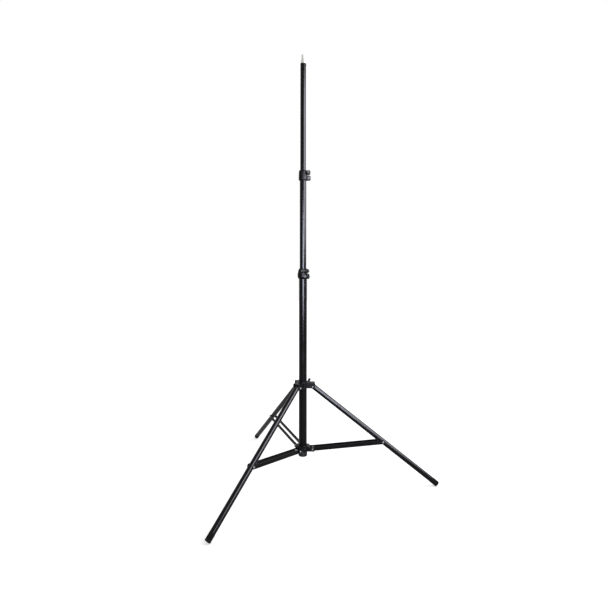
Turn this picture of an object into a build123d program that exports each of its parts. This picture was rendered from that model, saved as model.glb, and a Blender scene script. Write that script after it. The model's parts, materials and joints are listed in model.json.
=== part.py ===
"""Three-section telescopic lighting stand on a folding tripod base.

The origin is on the floor under the middle of the column, and +Z is up.  One leg
points along +X and the other two stand at +120 and -120 degrees from it.  The stand
is drawn open, at the height in the photograph.  All sizes are in millimetres.
"""

from build123d import *
import os
from math import atan2, cos, degrees, hypot, radians, sin, sqrt

os.makedirs("parts", exist_ok=True)

# ---- Fits ----------------------------------------------------------------------
RUN_FIT = 0.08          # radial play of what turns or slides in its seat
SEAT_FIT = 0.03         # radial play of what is pressed, screwed or riveted home
SIDE_GAP = 0.3          # gap between faces that move past each other
CUT_PAST = 1.0          # a cutting shape runs this far past the face that it opens

# ---- Column --------------------------------------------------------------------
COLUMN_BOTTOM = 113.5   # lower end of the column above the floor
LOWER_TUBE_D = 35.0
LOWER_TUBE_WALL = 1.5
MIDDLE_TUBE_D = 28.6
MIDDLE_TUBE_WALL = 1.2
MIDDLE_TUBE_LENGTH = 760.0
MIDDLE_SHOWS = 384.0    # middle tube in view between the two collars
TOP_TUBE_D = 25.0
TOP_TUBE_WALL = 1.2
TOP_TUBE_LENGTH = 770.0
TOP_SHOWS = 466.5       # top tube in view above the upper collar
OVERLAP_LENGTH = 90.0   # tube left inside the next one at full height
COLLAR_REST_GAP = 2.0   # what stays between collars when a section is down
TOP_REST_GAP = 30.0     # top tube left in view when it is down
END_CAP_WALL = 1.6
END_CAP_FLOOR = 3.0
END_CAP_HEIGHT = 21.0
END_CAP_ROUND = 2.5
GUIDE_HEIGHT = 10.0     # sliding plug under an inner tube
GUIDE_SPIGOT = 18.0     # part of the plug inside that tube
GUIDE_WALL = 3.0

# ---- Legs ----------------------------------------------------------------------
LEG_SPACING_ANGLE = 120.0   # from one leg round to the next
LEG_D = 23.0
LEG_WALL = 1.2
LEG_REACH = 672.0       # pivot to the end of the foot
LEG_ANGLE = 52.5        # from upright, legs open
PIVOT_OFFSET = 26.0     # pivots stand this far out from the lower tube's skin
FOLDED_TIP_GAP = 15.4   # folded foot's end over the brace pivots
PLUG_HEAD = 13.0        # leg's end fitting between the pivot and the tube
PLUG_SPIGOT = 28.0
PLUG_PROUD = 0.2        # end fitting stands out from the leg tube's skin
FOOT_LENGTH = 30.0
FOOT_SPIGOT = 24.0
FOOT_PROUD = 0.3        # foot stands out from the leg tube's skin
FOOT_ROUND = 1.5
PIN_D = 6.0
HEAD_D = 8.8            # heads of pins and rivets
PIN_HEAD_H = 3.4
RIVET_HEAD_H = 2.4

# ---- Braces --------------------------------------------------------------------
STRIP_HEIGHT = 16.0
STRIP_THICKNESS = 2.0
STRIP_TO_LEG = 0.6      # gap between a strip and the leg it straddles
SPACER_WALL = 1.5       # tube on the lower pin that keeps two strips apart
SLEEVE_WALL = 1.4       # tube across the leg that the upper rivets line up with
SLEEVE_SHORT = 0.3      # its ends inside the leg's skin

# ---- Leg hub, which slides on the lower tube -------------------------------------
LINER_WALL = 1.4
LINER_LIP = 1.5
LINER_LIP_OUT = 3.0
HUB_WALL = 6.0
HUB_BELOW_PIVOT = 7.0
HUB_ABOVE_PIVOT = 16.5
HUB_EAR = 5.5           # thickness of an ear
HUB_ROOF = 4.0          # plate that closes an arm on top
HUB_ARM_PAST_PIVOT = 10.0
HUB_ARM_ROUND = 7.0     # arm's upper outer corner, seen from the side
HUB_ARM_PLAN_ROUND = 7.5    # arm's outer corners, seen from above
HUB_BOSS_D = 18.0
HUB_BOSS_OUT = 6.0
HUB_BOSS_RISE = 7.0     # boss axis over the leg pivots
HUB_BOSS_AZIMUTH = 60.0

# ---- Brace hub, fixed on the lower tube ----------------------------------------
CAP_GAP = 2.0
BRACE_HUB_WALL = 6.5
BRACE_HUB_BELOW = 11.0
BRACE_HUB_ABOVE = 13.5
BRACE_EAR = 3.0
BRACE_EAR_TOP = 6.5     # ears' upper edge over the pivots
BRACE_EAR_BOTTOM = 10.0
BRACE_EAR_PAST = 9.5    # ears' end past the pivots
BRACE_EAR_ROUND = 5.0
BRACE_EAR_SLOPE = 7.0   # length of the slope from the core down to the ears
BRACE_CORE_EDGE = 1.0   # bevel round the core's top
ARM_ROOT_GAP = 1.0      # arm's root clear of the folded foot and the strips' ends
FIXING_RIVET_D = 5.0
FIXING_HEAD_D = 8.0
FIXING_HEAD_H = 1.6
FIXING_RIVET_RISE = 1.0     # fixing rivets over the pivots
FIXING_RIVET_GRIP = 1.0     # rivet's end inside the lower tube

# ---- Clamp collars -------------------------------------------------------------------
COLLAR_SPARE = 31.5     # lower tube left above the folded leg hub
LOWER_FIXED_LEVEL = 24.0    # level of the lower collar that grips the lower tube
LOWER_CLAMP_LEVEL = 18.5    # level that grips the middle tube
UPPER_FIXED_LEVEL = 22.0
UPPER_CLAMP_LEVEL = 21.0
LEVEL_GAP = 2.2         # slot between the two levels
SLOT_BACK = 4.0         # the slot stops this far behind the middle
SLIT = 3.0              # gap that a clamp closes
EAR_THICKNESS = 6.0
EAR_BEYOND = 8.0        # ear past its bolt
EAR_ROUND = 6.5
FIXED_EAR_MARGIN = 0.6  # ears this much lower than their level, above and below
CLAMP_EAR_MARGIN = 0.8
SPOT_D = 13.4           # flat that is cut round each bolt
BUSH_WALL = 1.2
BUSH_SLIT = 2.0
BUSH_PROUD = 1.2        # bush in view above its collar
LOWER_FOOT_WALL = 2.0   # wall at a collar's lower edge
UPPER_FOOT_WALL = 2.2
LOWER_SLEEVE_WALL = 6.1     # lower collar round the lower tube
UPPER_SLEEVE_WALL = 5.0     # upper collar round the middle tube
LOWER_SHOULDER = 3.3    # top edge of a collar over the inner tube's skin
UPPER_SHOULDER = 3.5
LOWER_WAIST = 5.9       # clamp level over the inner tube's skin, below its top edge
UPPER_WAIST = 5.8
LOWER_DROP = 7.0        # height over which that level narrows to its top edge
UPPER_DROP = 5.0
LOWER_TAPER = 9.0       # height over which a collar widens from its lower edge
UPPER_TAPER = 4.0
LOWER_BARREL = 1.7      # clamp level's lower edge inside the fixed level's radius
UPPER_BARREL = 0.5
LOWER_ROUND = 3.0       # softening of a collar's outline
UPPER_ROUND = 2.0
CLAMP_BOLT_OFFSET = 11.0    # clamp bolt from the inner tube's skin
FIXING_BOLT_OFFSET = 11.0   # fixing bolt from the outer tube's skin
LOWER_COLLAR_AZIMUTH = -48.0
UPPER_COLLAR_AZIMUTH = 4.0
BOLT_D = 6.0
HEX_FLATS = 10.0
HEX_HEAD_H = 4.0
NUT_H = 5.0
BOLT_END = 1.5          # bolt in view past its nut
BOLT_EDGE = 0.6
WASHER_D = 12.4
WASHER_T = 1.2

# ---- Knobs ---------------------------------------------------------------------------
KNOB_D = 18.0           # round knobs of the collars
KNOB_THICKNESS = 8.0
KNOB_NECK_D = 11.0
KNOB_FLUTES = 6
KNOB_FLUTE_D = 6.0
KNOB_FLUTE_DEPTH = 1.5
KNOB_EDGE = 1.0
CAP_D = 6.6             # bright end of the stud in the knob's face
CAP_DEPTH = 2.5
CAP_PROUD = 0.8
WING_SPAN = 42.0        # leg hub's wing knob
WING_TIP_D = 11.0
WING_WAIST = 9.0
WING_THICKNESS = 7.0
WING_NECK_D = 15.0
WING_NECK = 6.5
WING_TILT = 28.0        # from upright
WING_EDGE = 1.2
DISH_D = 7.5
DISH_DEPTH = 1.2
HUB_STUD_D = 8.0

# ---- Spigot for the lamp -----------------------------------------------------------
SPIGOT_D = 15.88        # 5/8 inch stud
SPIGOT_STUD = 18.5
SPIGOT_EDGE = 1.5
SPIGOT_NECK_D = 12.5
SPIGOT_NECK = 4.0
SPIGOT_FLANGE_D = 21.0
SPIGOT_FLANGE = 15.5
SPIGOT_SHANK = 34.0     # part inside the top tube
SCREW_DROP = 8.5        # fixing screw below the top tube's end
SCREW_AZIMUTH = -12.0
SCREW_D = 5.0
SCREW_HEAD_D = 8.0
SCREW_HEAD_H = 1.8
SCREW_DEPTH = 4.0       # screw's hold in the spigot's shank
SCREW_END_GAP = 1.0

# ---- Worked out from the sizes above -------------------------------------------
leg_azimuths = {"right": 0.0, "front": -LEG_SPACING_ANGLE, "back": LEG_SPACING_ANGLE}
# The fixing rivets stand midway between the arms.
rivet_azimuths = [azimuth + LEG_SPACING_ANGLE / 2 for azimuth in leg_azimuths.values()]
LOWER_R = LOWER_TUBE_D / 2
MIDDLE_R = MIDDLE_TUBE_D / 2
TOP_R = TOP_TUBE_D / 2
LOWER_BORE = LOWER_R - LOWER_TUBE_WALL
MIDDLE_BORE = MIDDLE_R - MIDDLE_TUBE_WALL
TOP_BORE = TOP_R - TOP_TUBE_WALL
LEG_R = LEG_D / 2
LEG_BORE = LEG_R - LEG_WALL
PIN_R = PIN_D / 2
BOLT_R = BOLT_D / 2
PIVOT_R = LOWER_R + PIVOT_OFFSET
FOOT_R = LEG_R + FOOT_PROUD

brace_hub_bottom = COLUMN_BOTTOM + END_CAP_HEIGHT + CAP_GAP
brace_pivot_z = brace_hub_bottom + BRACE_HUB_BELOW
fixing_rivet_z = brace_pivot_z + FIXING_RIVET_RISE
lean = radians(LEG_ANGLE)
# The foot's rounded edge touches the floor, so its middle stands this high.
foot_z = (FOOT_R - FOOT_ROUND) * sin(lean) + FOOT_ROUND * (1 - cos(lean))
leg_pivot_z = foot_z + LEG_REACH * cos(lean)
# A folded leg hangs upright along its upright braces, so the brace pin's place on
# the leg follows from where the folded foot stops above the brace pivots.
folded_reach = LEG_REACH + FOLDED_TIP_GAP
pivot_rise = leg_pivot_z - brace_pivot_z
brace_along_leg = (folded_reach**2 - pivot_rise**2) / (
    2 * (folded_reach - pivot_rise * cos(lean))
)
brace_length = folded_reach - brace_along_leg
brace_angle = degrees(
    atan2(brace_along_leg * sin(lean), pivot_rise - brace_along_leg * cos(lean))
)
folded_pivot_z = brace_pivot_z + folded_reach
hub_travel = folded_pivot_z - leg_pivot_z

STRIP_IN = LEG_R + STRIP_TO_LEG
STRIP_OUT = STRIP_IN + STRIP_THICKNESS
PLUG_HALF = LEG_R + PLUG_PROUD
HUB_EAR_IN = PLUG_HALF + SIDE_GAP
HUB_EAR_OUT = HUB_EAR_IN + HUB_EAR
BRACE_EAR_IN = STRIP_OUT + SIDE_GAP
BRACE_EAR_OUT = BRACE_EAR_IN + BRACE_EAR
LINER_BORE = LOWER_R + RUN_FIT
LINER_R = LINER_BORE + LINER_WALL
HUB_CORE_R = LINER_R + HUB_WALL
hub_boss_z = leg_pivot_z + HUB_BOSS_RISE
hub_stud_end = WING_NECK + WING_THICKNESS / 2
BRACE_CORE_R = LOWER_R + BRACE_HUB_WALL

lower_collar_z = folded_pivot_z + HUB_ABOVE_PIVOT + LINER_LIP + COLLAR_SPARE
lower_collar_top = lower_collar_z + LOWER_FIXED_LEVEL + LEVEL_GAP + LOWER_CLAMP_LEVEL
lower_tube_top = lower_collar_z + LOWER_FIXED_LEVEL
upper_collar_z = lower_collar_top + MIDDLE_SHOWS
upper_collar_top = upper_collar_z + UPPER_FIXED_LEVEL + LEVEL_GAP + UPPER_CLAMP_LEVEL
middle_tube_top = upper_collar_z + UPPER_FIXED_LEVEL
middle_tube_bottom = middle_tube_top - MIDDLE_TUBE_LENGTH
top_tube_top = upper_collar_top + TOP_SHOWS
top_tube_bottom = top_tube_top - TOP_TUBE_LENGTH
middle_down = MIDDLE_SHOWS - COLLAR_REST_GAP - BUSH_PROUD
middle_up = lower_tube_top - middle_tube_bottom - OVERLAP_LENGTH
top_down = TOP_SHOWS - TOP_REST_GAP
top_up = middle_tube_top - top_tube_bottom - OVERLAP_LENGTH


# ---- Basic shapes ------------------------------------------------------------------
def rod(radius, low, high):
    """A round bar along Z from low to high."""
    bar = Cylinder(radius, high - low, align=(Align.CENTER, Align.CENTER, Align.MIN))
    return Pos(0, 0, low) * bar


def tube(outer, inner, low, high):
    """A round tube along Z from low to high."""
    return rod(outer, low, high) - rod(inner, low - CUT_PAST, high + CUT_PAST)


def turned(*outline):
    """A closed outline of (radius, height) points turned about Z."""
    return revolve(Plane.XZ * Polygon(*outline, align=None), Axis.Z)


def along_y(shape):
    """Lay a shape that stands on +Z along +Y."""
    return Rot(-90, 0, 0) * shape


def along_x(shape):
    """Lay a shape that stands on +Z along +X."""
    return Rot(0, 90, 0) * shape


def block(x0, x1, y0, y1, z0, z1):
    """A box between its corners."""
    box = Box(x1 - x0, y1 - y0, z1 - z0, align=(Align.MIN, Align.MIN, Align.MIN))
    return Pos(x0, y0, z0) * box


def dome(radius, height):
    """A rivet head: a cap of a ball, flat side down at z = 0."""
    ball_r = (radius**2 + height**2) / (2 * height)
    cap = Pos(0, 0, height - ball_r) * Sphere(ball_r)
    return cap & block(-radius, radius, -radius, radius, 0, height)


def rivet(shank_r, head_r, head_h, half):
    """A rivet across Y with a head beyond each end of its grip."""
    head = Pos(0, 0, half) * dome(head_r, head_h)
    foot = Rot(180, 0, 0) * head
    return along_y(rod(shank_r, -half, half) + head + foot)


def hexagon(flats, low, high):
    """A hexagonal bar along Z, measured across its flats."""
    corner_r = flats / 2 / cos(radians(30))
    outline = Pos(0, 0, low) * RegularPolygon(corner_r, 6)
    return extrude(outline, high - low)


def at_pivot(azimuth, height, shape):
    """Move a shape from the origin to the pivot at one arm of a hub."""
    return Rot(0, 0, azimuth) * Pos(PIVOT_R, 0, height) * shape


def save(node, shape):
    """Write one node's solids."""
    export_step(shape, f"parts/{node}.step")


def save_group(node, shapes):
    """Write like pieces as separate solids of one node."""
    export_step(Compound(children=list(shapes)), f"parts/{node}.step")


# ---- Column and brace hub --------------------------------------------------------------
def end_cap():
    """Rounded cup over the column's lower end."""
    outer = LOWER_R + SEAT_FIT + END_CAP_WALL
    cup = rod(outer, COLUMN_BOTTOM, COLUMN_BOTTOM + END_CAP_HEIGHT)
    cup = fillet(cup.edges().group_by(Axis.Z)[0], END_CAP_ROUND)
    seat = COLUMN_BOTTOM + END_CAP_FLOOR
    return cup - rod(LOWER_R + SEAT_FIT, seat, seat + END_CAP_HEIGHT)


def lower_tube():
    body = tube(LOWER_R, LOWER_BORE, COLUMN_BOTTOM + END_CAP_FLOOR, lower_tube_top)
    hole = along_x(rod(FIXING_RIVET_D / 2 + SEAT_FIT, 0, 2 * LOWER_R))
    for azimuth in rivet_azimuths:
        body -= Rot(0, 0, azimuth) * Pos(0, 0, fixing_rivet_z) * hole
    return body


def brace_arm():
    """One forked arm along +X; its slot takes the strips and the folded foot."""
    end = PIVOT_R + BRACE_EAR_PAST
    side = Polygon(
        (0, -BRACE_EAR_BOTTOM),
        (end, -BRACE_EAR_BOTTOM),
        (end, BRACE_EAR_TOP),
        (BRACE_CORE_R + BRACE_EAR_SLOPE, BRACE_EAR_TOP),
        (BRACE_CORE_R, BRACE_HUB_ABOVE - BRACE_CORE_EDGE),
        (0, BRACE_HUB_ABOVE - BRACE_CORE_EDGE),
        align=None,
    )
    side = fillet(side.vertices().group_by(Axis.X)[-1], BRACE_EAR_ROUND)
    arm = extrude(Plane.XZ * side, BRACE_EAR_OUT, both=True)
    root = PIVOT_R - max(FOOT_R, STRIP_HEIGHT / 2) - ARM_ROOT_GAP
    slot_low = -BRACE_HUB_BELOW - CUT_PAST
    arm -= block(root, end + CUT_PAST, -BRACE_EAR_IN, BRACE_EAR_IN, slot_low, BRACE_HUB_ABOVE)
    pin_end = BRACE_EAR_OUT + CUT_PAST
    pin_hole = along_y(rod(PIN_R + SEAT_FIT, -pin_end, pin_end))
    return arm - Pos(PIVOT_R, 0, 0) * pin_hole


def brace_hub():
    """Three forked arms round a core that is riveted to the column."""
    low = brace_hub_bottom
    high = brace_pivot_z + BRACE_HUB_ABOVE
    body = rod(BRACE_CORE_R, low, high)
    body = chamfer(body.edges().group_by(Axis.Z)[-1], BRACE_CORE_EDGE)
    arm = Pos(0, 0, brace_pivot_z) * brace_arm()
    for azimuth in leg_azimuths.values():
        body += Rot(0, 0, azimuth) * arm
    hole = along_x(rod(FIXING_RIVET_D / 2 + SEAT_FIT, 0, 3 * BRACE_CORE_R))
    for azimuth in rivet_azimuths:
        body -= Rot(0, 0, azimuth) * Pos(0, 0, fixing_rivet_z) * hole
    return body - rod(LOWER_R + SEAT_FIT, low - CUT_PAST, high + CUT_PAST)


def brace_hub_rivets():
    """Radial rivets that fix the brace hub to the lower tube."""
    shank = rod(FIXING_RIVET_D / 2, LOWER_BORE - FIXING_RIVET_GRIP, BRACE_CORE_R)
    head = Pos(0, 0, BRACE_CORE_R) * dome(FIXING_HEAD_D / 2, FIXING_HEAD_H)
    one = Pos(0, 0, fixing_rivet_z) * along_x(shank + head)
    return [Rot(0, 0, azimuth) * one for azimuth in rivet_azimuths]


def brace_hub_pins():
    pin = rivet(PIN_R, HEAD_D / 2, PIN_HEAD_H, BRACE_EAR_OUT)
    return [at_pivot(a, brace_pivot_z, pin) for a in leg_azimuths.values()]


def brace_spacers():
    half = STRIP_IN - SIDE_GAP
    bore = PIN_R + SEAT_FIT
    spacer = along_y(tube(bore + SPACER_WALL, bore, -half, half))
    return [at_pivot(a, brace_pivot_z, spacer) for a in leg_azimuths.values()]


# ---- Braces, drawn upright from their lower pin ---------------------------------------------
def brace_strip(side):
    """One flat strip; side is +1 or -1 along Y."""
    outline = Pos(0, brace_length / 2) * SlotCenterToCenter(
        brace_length, STRIP_HEIGHT, rotation=90
    )
    outline -= Circle(PIN_R + RUN_FIT)
    outline -= Pos(0, brace_length) * Circle(PIN_R + SEAT_FIT)
    strip = Pos(0, STRIP_IN, 0) * extrude(Plane.XZ * outline, -STRIP_THICKNESS)
    return strip if side > 0 else mirror(strip, Plane.XZ)


def brace_rivets():
    """Short rivets in the strips' upper ends; the leg's sleeve lines up with them."""
    shank = rod(PIN_R, STRIP_IN, STRIP_OUT)
    head = Pos(0, 0, STRIP_OUT) * dome(HEAD_D / 2, RIVET_HEAD_H)
    one = Pos(0, 0, brace_length) * along_y(shank + head)
    return [one, mirror(one, Plane.XZ)]


# ---- Legs, drawn hanging from their pivot ------------------------------------------------
def leg_tube():
    body = tube(LEG_R, LEG_BORE, FOOT_LENGTH - LEG_REACH, -PLUG_HEAD)
    sleeve_r = PIN_R + SEAT_FIT + SLEEVE_WALL + SEAT_FIT
    cross = along_y(rod(sleeve_r, -LEG_D, LEG_D))
    return body - Pos(0, 0, -brace_along_leg) * cross


def leg_sleeve():
    """Tube across the leg at the brace rivets."""
    bore = PIN_R + SEAT_FIT
    half = LEG_R - SLEEVE_SHORT
    sleeve = along_y(tube(bore + SLEEVE_WALL, bore, -half, half))
    return Pos(0, 0, -brace_along_leg) * sleeve


def leg_plug():
    """Cast fitting in the leg's upper end, which turns between the hub's ears."""
    column = rod(PLUG_HALF, -PLUG_HEAD, PLUG_HALF)
    profile = along_y(rod(PLUG_HALF, -PLUG_HALF, PLUG_HALF))
    profile += block(-PLUG_HALF, PLUG_HALF, -PLUG_HALF, PLUG_HALF, -PLUG_HEAD, 0)
    head = column & profile
    spigot = rod(LEG_BORE - SEAT_FIT, -PLUG_HEAD - PLUG_SPIGOT, -PLUG_HEAD)
    return head + spigot - along_y(rod(PIN_R + RUN_FIT, -LEG_D, LEG_D))


def leg_foot():
    """Moulded foot in the leg's lower end."""
    foot = rod(FOOT_R, -LEG_REACH, FOOT_LENGTH - LEG_REACH)
    foot = fillet(foot.edges().group_by(Axis.Z)[0], FOOT_ROUND)
    top = FOOT_LENGTH - LEG_REACH
    return foot + rod(LEG_BORE - SEAT_FIT, top, top + FOOT_SPIGOT)


# ---- Leg hub ------------------------------------------------------------------------------
def hub_arm():
    """A channel, open below, that holds the leg's end fitting."""
    end = PIVOT_R + HUB_ARM_PAST_PIVOT
    height = HUB_ABOVE_PIVOT + HUB_BELOW_PIVOT
    side = Pos(end / 2, HUB_ABOVE_PIVOT - height / 2) * Rectangle(end, height)
    outer = side.vertices().group_by(Axis.X)[-1]
    side = fillet(outer, HUB_ARM_ROUND)
    plan = Pos(end / 2, 0) * Rectangle(end, 2 * HUB_EAR_OUT)
    corners = plan.vertices().group_by(Axis.X)[-1]
    plan = fillet(corners, HUB_ARM_PLAN_ROUND)
    cut_low = -HUB_BELOW_PIVOT - CUT_PAST
    tall = Pos(0, 0, cut_low) * extrude(plan, height + 2 * CUT_PAST)
    arm = extrude(Plane.XZ * side, 2 * HUB_EAR_OUT, both=True) & tall
    slot_start = PIVOT_R - PLUG_HALF - 3 * SIDE_GAP
    slot_top = HUB_ABOVE_PIVOT - HUB_ROOF
    arm -= block(slot_start, end + CUT_PAST, -HUB_EAR_IN, HUB_EAR_IN, cut_low, slot_top)
    hole_end = HUB_EAR_OUT + CUT_PAST
    hole = along_y(rod(PIN_R + SEAT_FIT, -hole_end, hole_end))
    return arm - Pos(PIVOT_R, 0, 0) * hole


def leg_hub():
    low = leg_pivot_z - HUB_BELOW_PIVOT
    high = leg_pivot_z + HUB_ABOVE_PIVOT
    body = rod(HUB_CORE_R, low, high)
    arm = Pos(0, 0, leg_pivot_z) * hub_arm()
    for azimuth in leg_azimuths.values():
        body += Rot(0, 0, azimuth) * arm
    boss = along_x(rod(HUB_BOSS_D / 2, 0, HUB_CORE_R + HUB_BOSS_OUT))
    thread = along_x(rod(HUB_STUD_D / 2 + RUN_FIT, 0, 2 * HUB_CORE_R))
    boss_place = Rot(0, 0, HUB_BOSS_AZIMUTH) * Pos(0, 0, hub_boss_z)
    body = body + boss_place * boss - boss_place * thread
    return body - rod(LINER_R + SEAT_FIT, low - CUT_PAST, high + CUT_PAST)


def leg_hub_liner():
    low = leg_pivot_z - HUB_BELOW_PIVOT
    high = leg_pivot_z + HUB_ABOVE_PIVOT
    liner = tube(LINER_R, LINER_BORE, low, high)
    liner += tube(LINER_R + LINER_LIP_OUT, LINER_BORE, high, high + LINER_LIP)
    hole = along_x(rod(HUB_STUD_D / 2 + SIDE_GAP, 0, 2 * HUB_CORE_R))
    return liner - Rot(0, 0, HUB_BOSS_AZIMUTH) * Pos(0, 0, hub_boss_z) * hole


def leg_hub_pins():
    pin = rivet(PIN_R, HEAD_D / 2, PIN_HEAD_H, HUB_EAR_OUT)
    return [at_pivot(a, leg_pivot_z, pin) for a in leg_azimuths.values()]


def hub_knob_place(shape):
    """Stand a shape on the hub's boss, its +Z pointing out."""
    out = HUB_CORE_R + HUB_BOSS_OUT + SIDE_GAP
    turn = Rot(0, 0, WING_TILT)
    return Rot(0, 0, HUB_BOSS_AZIMUTH) * Pos(out, 0, hub_boss_z) * along_x(turn * shape)


def hub_knob():
    """Wing knob: two dished wings along X on a neck that stands on z = 0."""
    reach = (WING_SPAN - WING_TIP_D) / 2
    outline = Rectangle(2 * reach, WING_WAIST) + Circle(WING_NECK_D / 2)
    for x in (-reach, reach):
        outline += Pos(x, 0) * Circle(WING_TIP_D / 2)
    wings = Pos(0, 0, WING_NECK) * extrude(outline, WING_THICKNESS)
    wings = chamfer(wings.edges().group_by(Axis.Z)[-1], WING_EDGE)
    knob = wings + rod(WING_NECK_D / 2, 0, hub_stud_end)
    for x in (-reach, reach):
        dish = Rot(180, 0, 0) * dome(DISH_D / 2, DISH_DEPTH)
        knob -= Pos(x, 0, WING_NECK + WING_THICKNESS) * dish
    return knob - rod(HUB_STUD_D / 2 + SEAT_FIT, -CUT_PAST, hub_stud_end)


def hub_knob_stud():
    """Threaded stud that presses on the lower tube."""
    tip = HUB_CORE_R + HUB_BOSS_OUT - LOWER_R
    return rod(HUB_STUD_D / 2, -tip, hub_stud_end)


# ---- Clamp collars, drawn with their ears on +X and their foot at z = 0 ---------------------
class Collar:
    """Sizes of one collar, from the outer tube it sits on and the inner one it grips."""

    def __init__(self, outer_r, inner_r, fixed, clamp):
        self.outer_r = outer_r
        self.fixed = fixed
        self.split = fixed + LEVEL_GAP
        self.height = self.split + clamp
        self.bush_bore = inner_r + RUN_FIT
        self.bush_r = self.bush_bore + BUSH_WALL
        self.fixing_x = outer_r + FIXING_BOLT_OFFSET
        self.fixing_z = fixed / 2
        self.clamp_x = inner_r + CLAMP_BOLT_OFFSET
        self.clamp_z = self.split + clamp / 2
        self.ear_face = SLIT / 2 + EAR_THICKNESS

    def shape(self, foot, taper, sleeve, barrel, waist, drop, shoulder, rounding):
        """Radii and heights of the outline, and the knob's place clear of them."""
        self.foot = foot
        self.taper = taper
        self.sleeve = sleeve
        self.barrel = barrel
        self.waist = waist
        self.drop = drop
        self.shoulder = shoulder
        self.rounding = rounding
        knob_near = max(self.clamp_x - KNOB_D / 2, 0)
        self.knob_from = sqrt(sleeve**2 - knob_near**2) + 2 * SIDE_GAP
        self.cap_seat = self.knob_from + KNOB_THICKNESS - CAP_DEPTH
        return self


lower_sizes = Collar(LOWER_R, MIDDLE_R, LOWER_FIXED_LEVEL, LOWER_CLAMP_LEVEL).shape(
    LOWER_R + LOWER_FOOT_WALL, LOWER_TAPER, LOWER_R + LOWER_SLEEVE_WALL,
    LOWER_R + LOWER_SLEEVE_WALL - LOWER_BARREL, MIDDLE_R + LOWER_WAIST, LOWER_DROP,
    MIDDLE_R + LOWER_SHOULDER, LOWER_ROUND,
)
upper_sizes = Collar(MIDDLE_R, TOP_R, UPPER_FIXED_LEVEL, UPPER_CLAMP_LEVEL).shape(
    MIDDLE_R + UPPER_FOOT_WALL, UPPER_TAPER, MIDDLE_R + UPPER_SLEEVE_WALL,
    MIDDLE_R + UPPER_SLEEVE_WALL - UPPER_BARREL, TOP_R + UPPER_WAIST, UPPER_DROP,
    TOP_R + UPPER_SHOULDER, UPPER_ROUND,
)


def collar_ears(c, x, z, height):
    """A pair of ears round a bolt at (x, z), before they are slit apart."""
    reach = x + EAR_BEYOND
    outline = Pos(reach / 2, z) * Rectangle(reach, height)
    outline = fillet(outline.vertices().group_by(Axis.X)[-1], EAR_ROUND)
    return extrude(Plane.XZ * outline, c.ear_face, both=True)


def collar_outline(c):
    """Half section of the collar's outside, softened where it bulges."""
    outline = Polygon(
        (0, 0),
        (c.foot, 0),
        (c.sleeve, c.taper),
        (c.sleeve, c.fixed),
        (c.barrel, c.split + c.rounding),
        (c.waist, c.height - c.drop),
        (c.shoulder, c.height),
        (0, c.height),
        align=None,
    )
    bulge = outline.vertices().filter_by(lambda v: v.X > c.shoulder and 0 < v.Y < c.height)
    return fillet(bulge, c.rounding)


def collar_body(c):
    """Cast collar: a fixed level below, a clamp level above, and a slot between."""
    body = revolve(Plane.XZ * collar_outline(c), Axis.Z)
    body += collar_ears(c, c.fixing_x, c.fixing_z, c.fixed - 2 * FIXED_EAR_MARGIN)
    clamp_level = c.height - c.split
    body += collar_ears(c, c.clamp_x, c.clamp_z, clamp_level - 2 * CLAMP_EAR_MARGIN)
    far = c.fixing_x + 2 * EAR_BEYOND
    body -= block(-SLOT_BACK, far, -far, far, c.fixed, c.split)
    body -= block(0, far, -SLIT / 2, SLIT / 2, -CUT_PAST, c.height + CUT_PAST)
    for x, z, fit in ((c.fixing_x, c.fixing_z, SEAT_FIT), (c.clamp_x, c.clamp_z, RUN_FIT)):
        body -= Pos(x, 0, z) * along_y(rod(BOLT_R + fit, -far, far))
        for side in (90, -90):
            body -= Pos(x, 0, z) * Rot(side, 0, 0) * rod(SPOT_D / 2, c.ear_face, far)
    body -= rod(c.outer_r + SEAT_FIT, -CUT_PAST, c.split)
    return body - rod(c.bush_r + SEAT_FIT, c.split - CUT_PAST, c.height + CUT_PAST)


def collar_bush(c):
    """Split plastic bush, its flange trapped over the outer tube's end."""
    bush = tube(c.outer_r, c.bush_bore, c.fixed, c.split)
    bush += tube(c.bush_r, c.bush_bore, c.fixed, c.height + BUSH_PROUD)
    top = c.height + 2 * BUSH_PROUD
    return bush - block(0, 2 * c.outer_r, -BUSH_SLIT / 2, BUSH_SLIT / 2, c.fixed - CUT_PAST, top)


def fixing_bolt(c):
    """Hexagon bolt through the fixed level's ears, its head on the -Y side."""
    grip = c.ear_face + WASHER_T
    bolt = rod(BOLT_R, -grip - NUT_H - BOLT_END, grip)
    bolt += hexagon(HEX_FLATS, grip, grip + HEX_HEAD_H)
    bolt = chamfer(bolt.edges().group_by(Axis.Z)[-1], BOLT_EDGE)
    return Pos(c.fixing_x, 0, c.fixing_z) * Rot(90, 0, 0) * bolt


def fixing_washers(c):
    """A washer under the bolt's head and one under its nut."""
    washer = tube(WASHER_D / 2, BOLT_R + SEAT_FIT, c.ear_face, c.ear_face + WASHER_T)
    place = Pos(c.fixing_x, 0, c.fixing_z)
    return [place * along_y(washer), place * Rot(90, 0, 0) * washer]


def hex_nut(low, fit):
    """A nut on a bolt along Z."""
    high = low + NUT_H
    return hexagon(HEX_FLATS, low, high) - rod(BOLT_R + fit, low - CUT_PAST, high + CUT_PAST)


def collar_nuts(c):
    """The fixing bolt's nut and the nut that the knob's stud screws into."""
    fixing = hex_nut(c.ear_face + WASHER_T, SEAT_FIT)
    clamp = hex_nut(c.ear_face, RUN_FIT)
    return [
        Pos(c.fixing_x, 0, c.fixing_z) * along_y(fixing),
        Pos(c.clamp_x, 0, c.clamp_z) * along_y(clamp),
    ]


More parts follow.
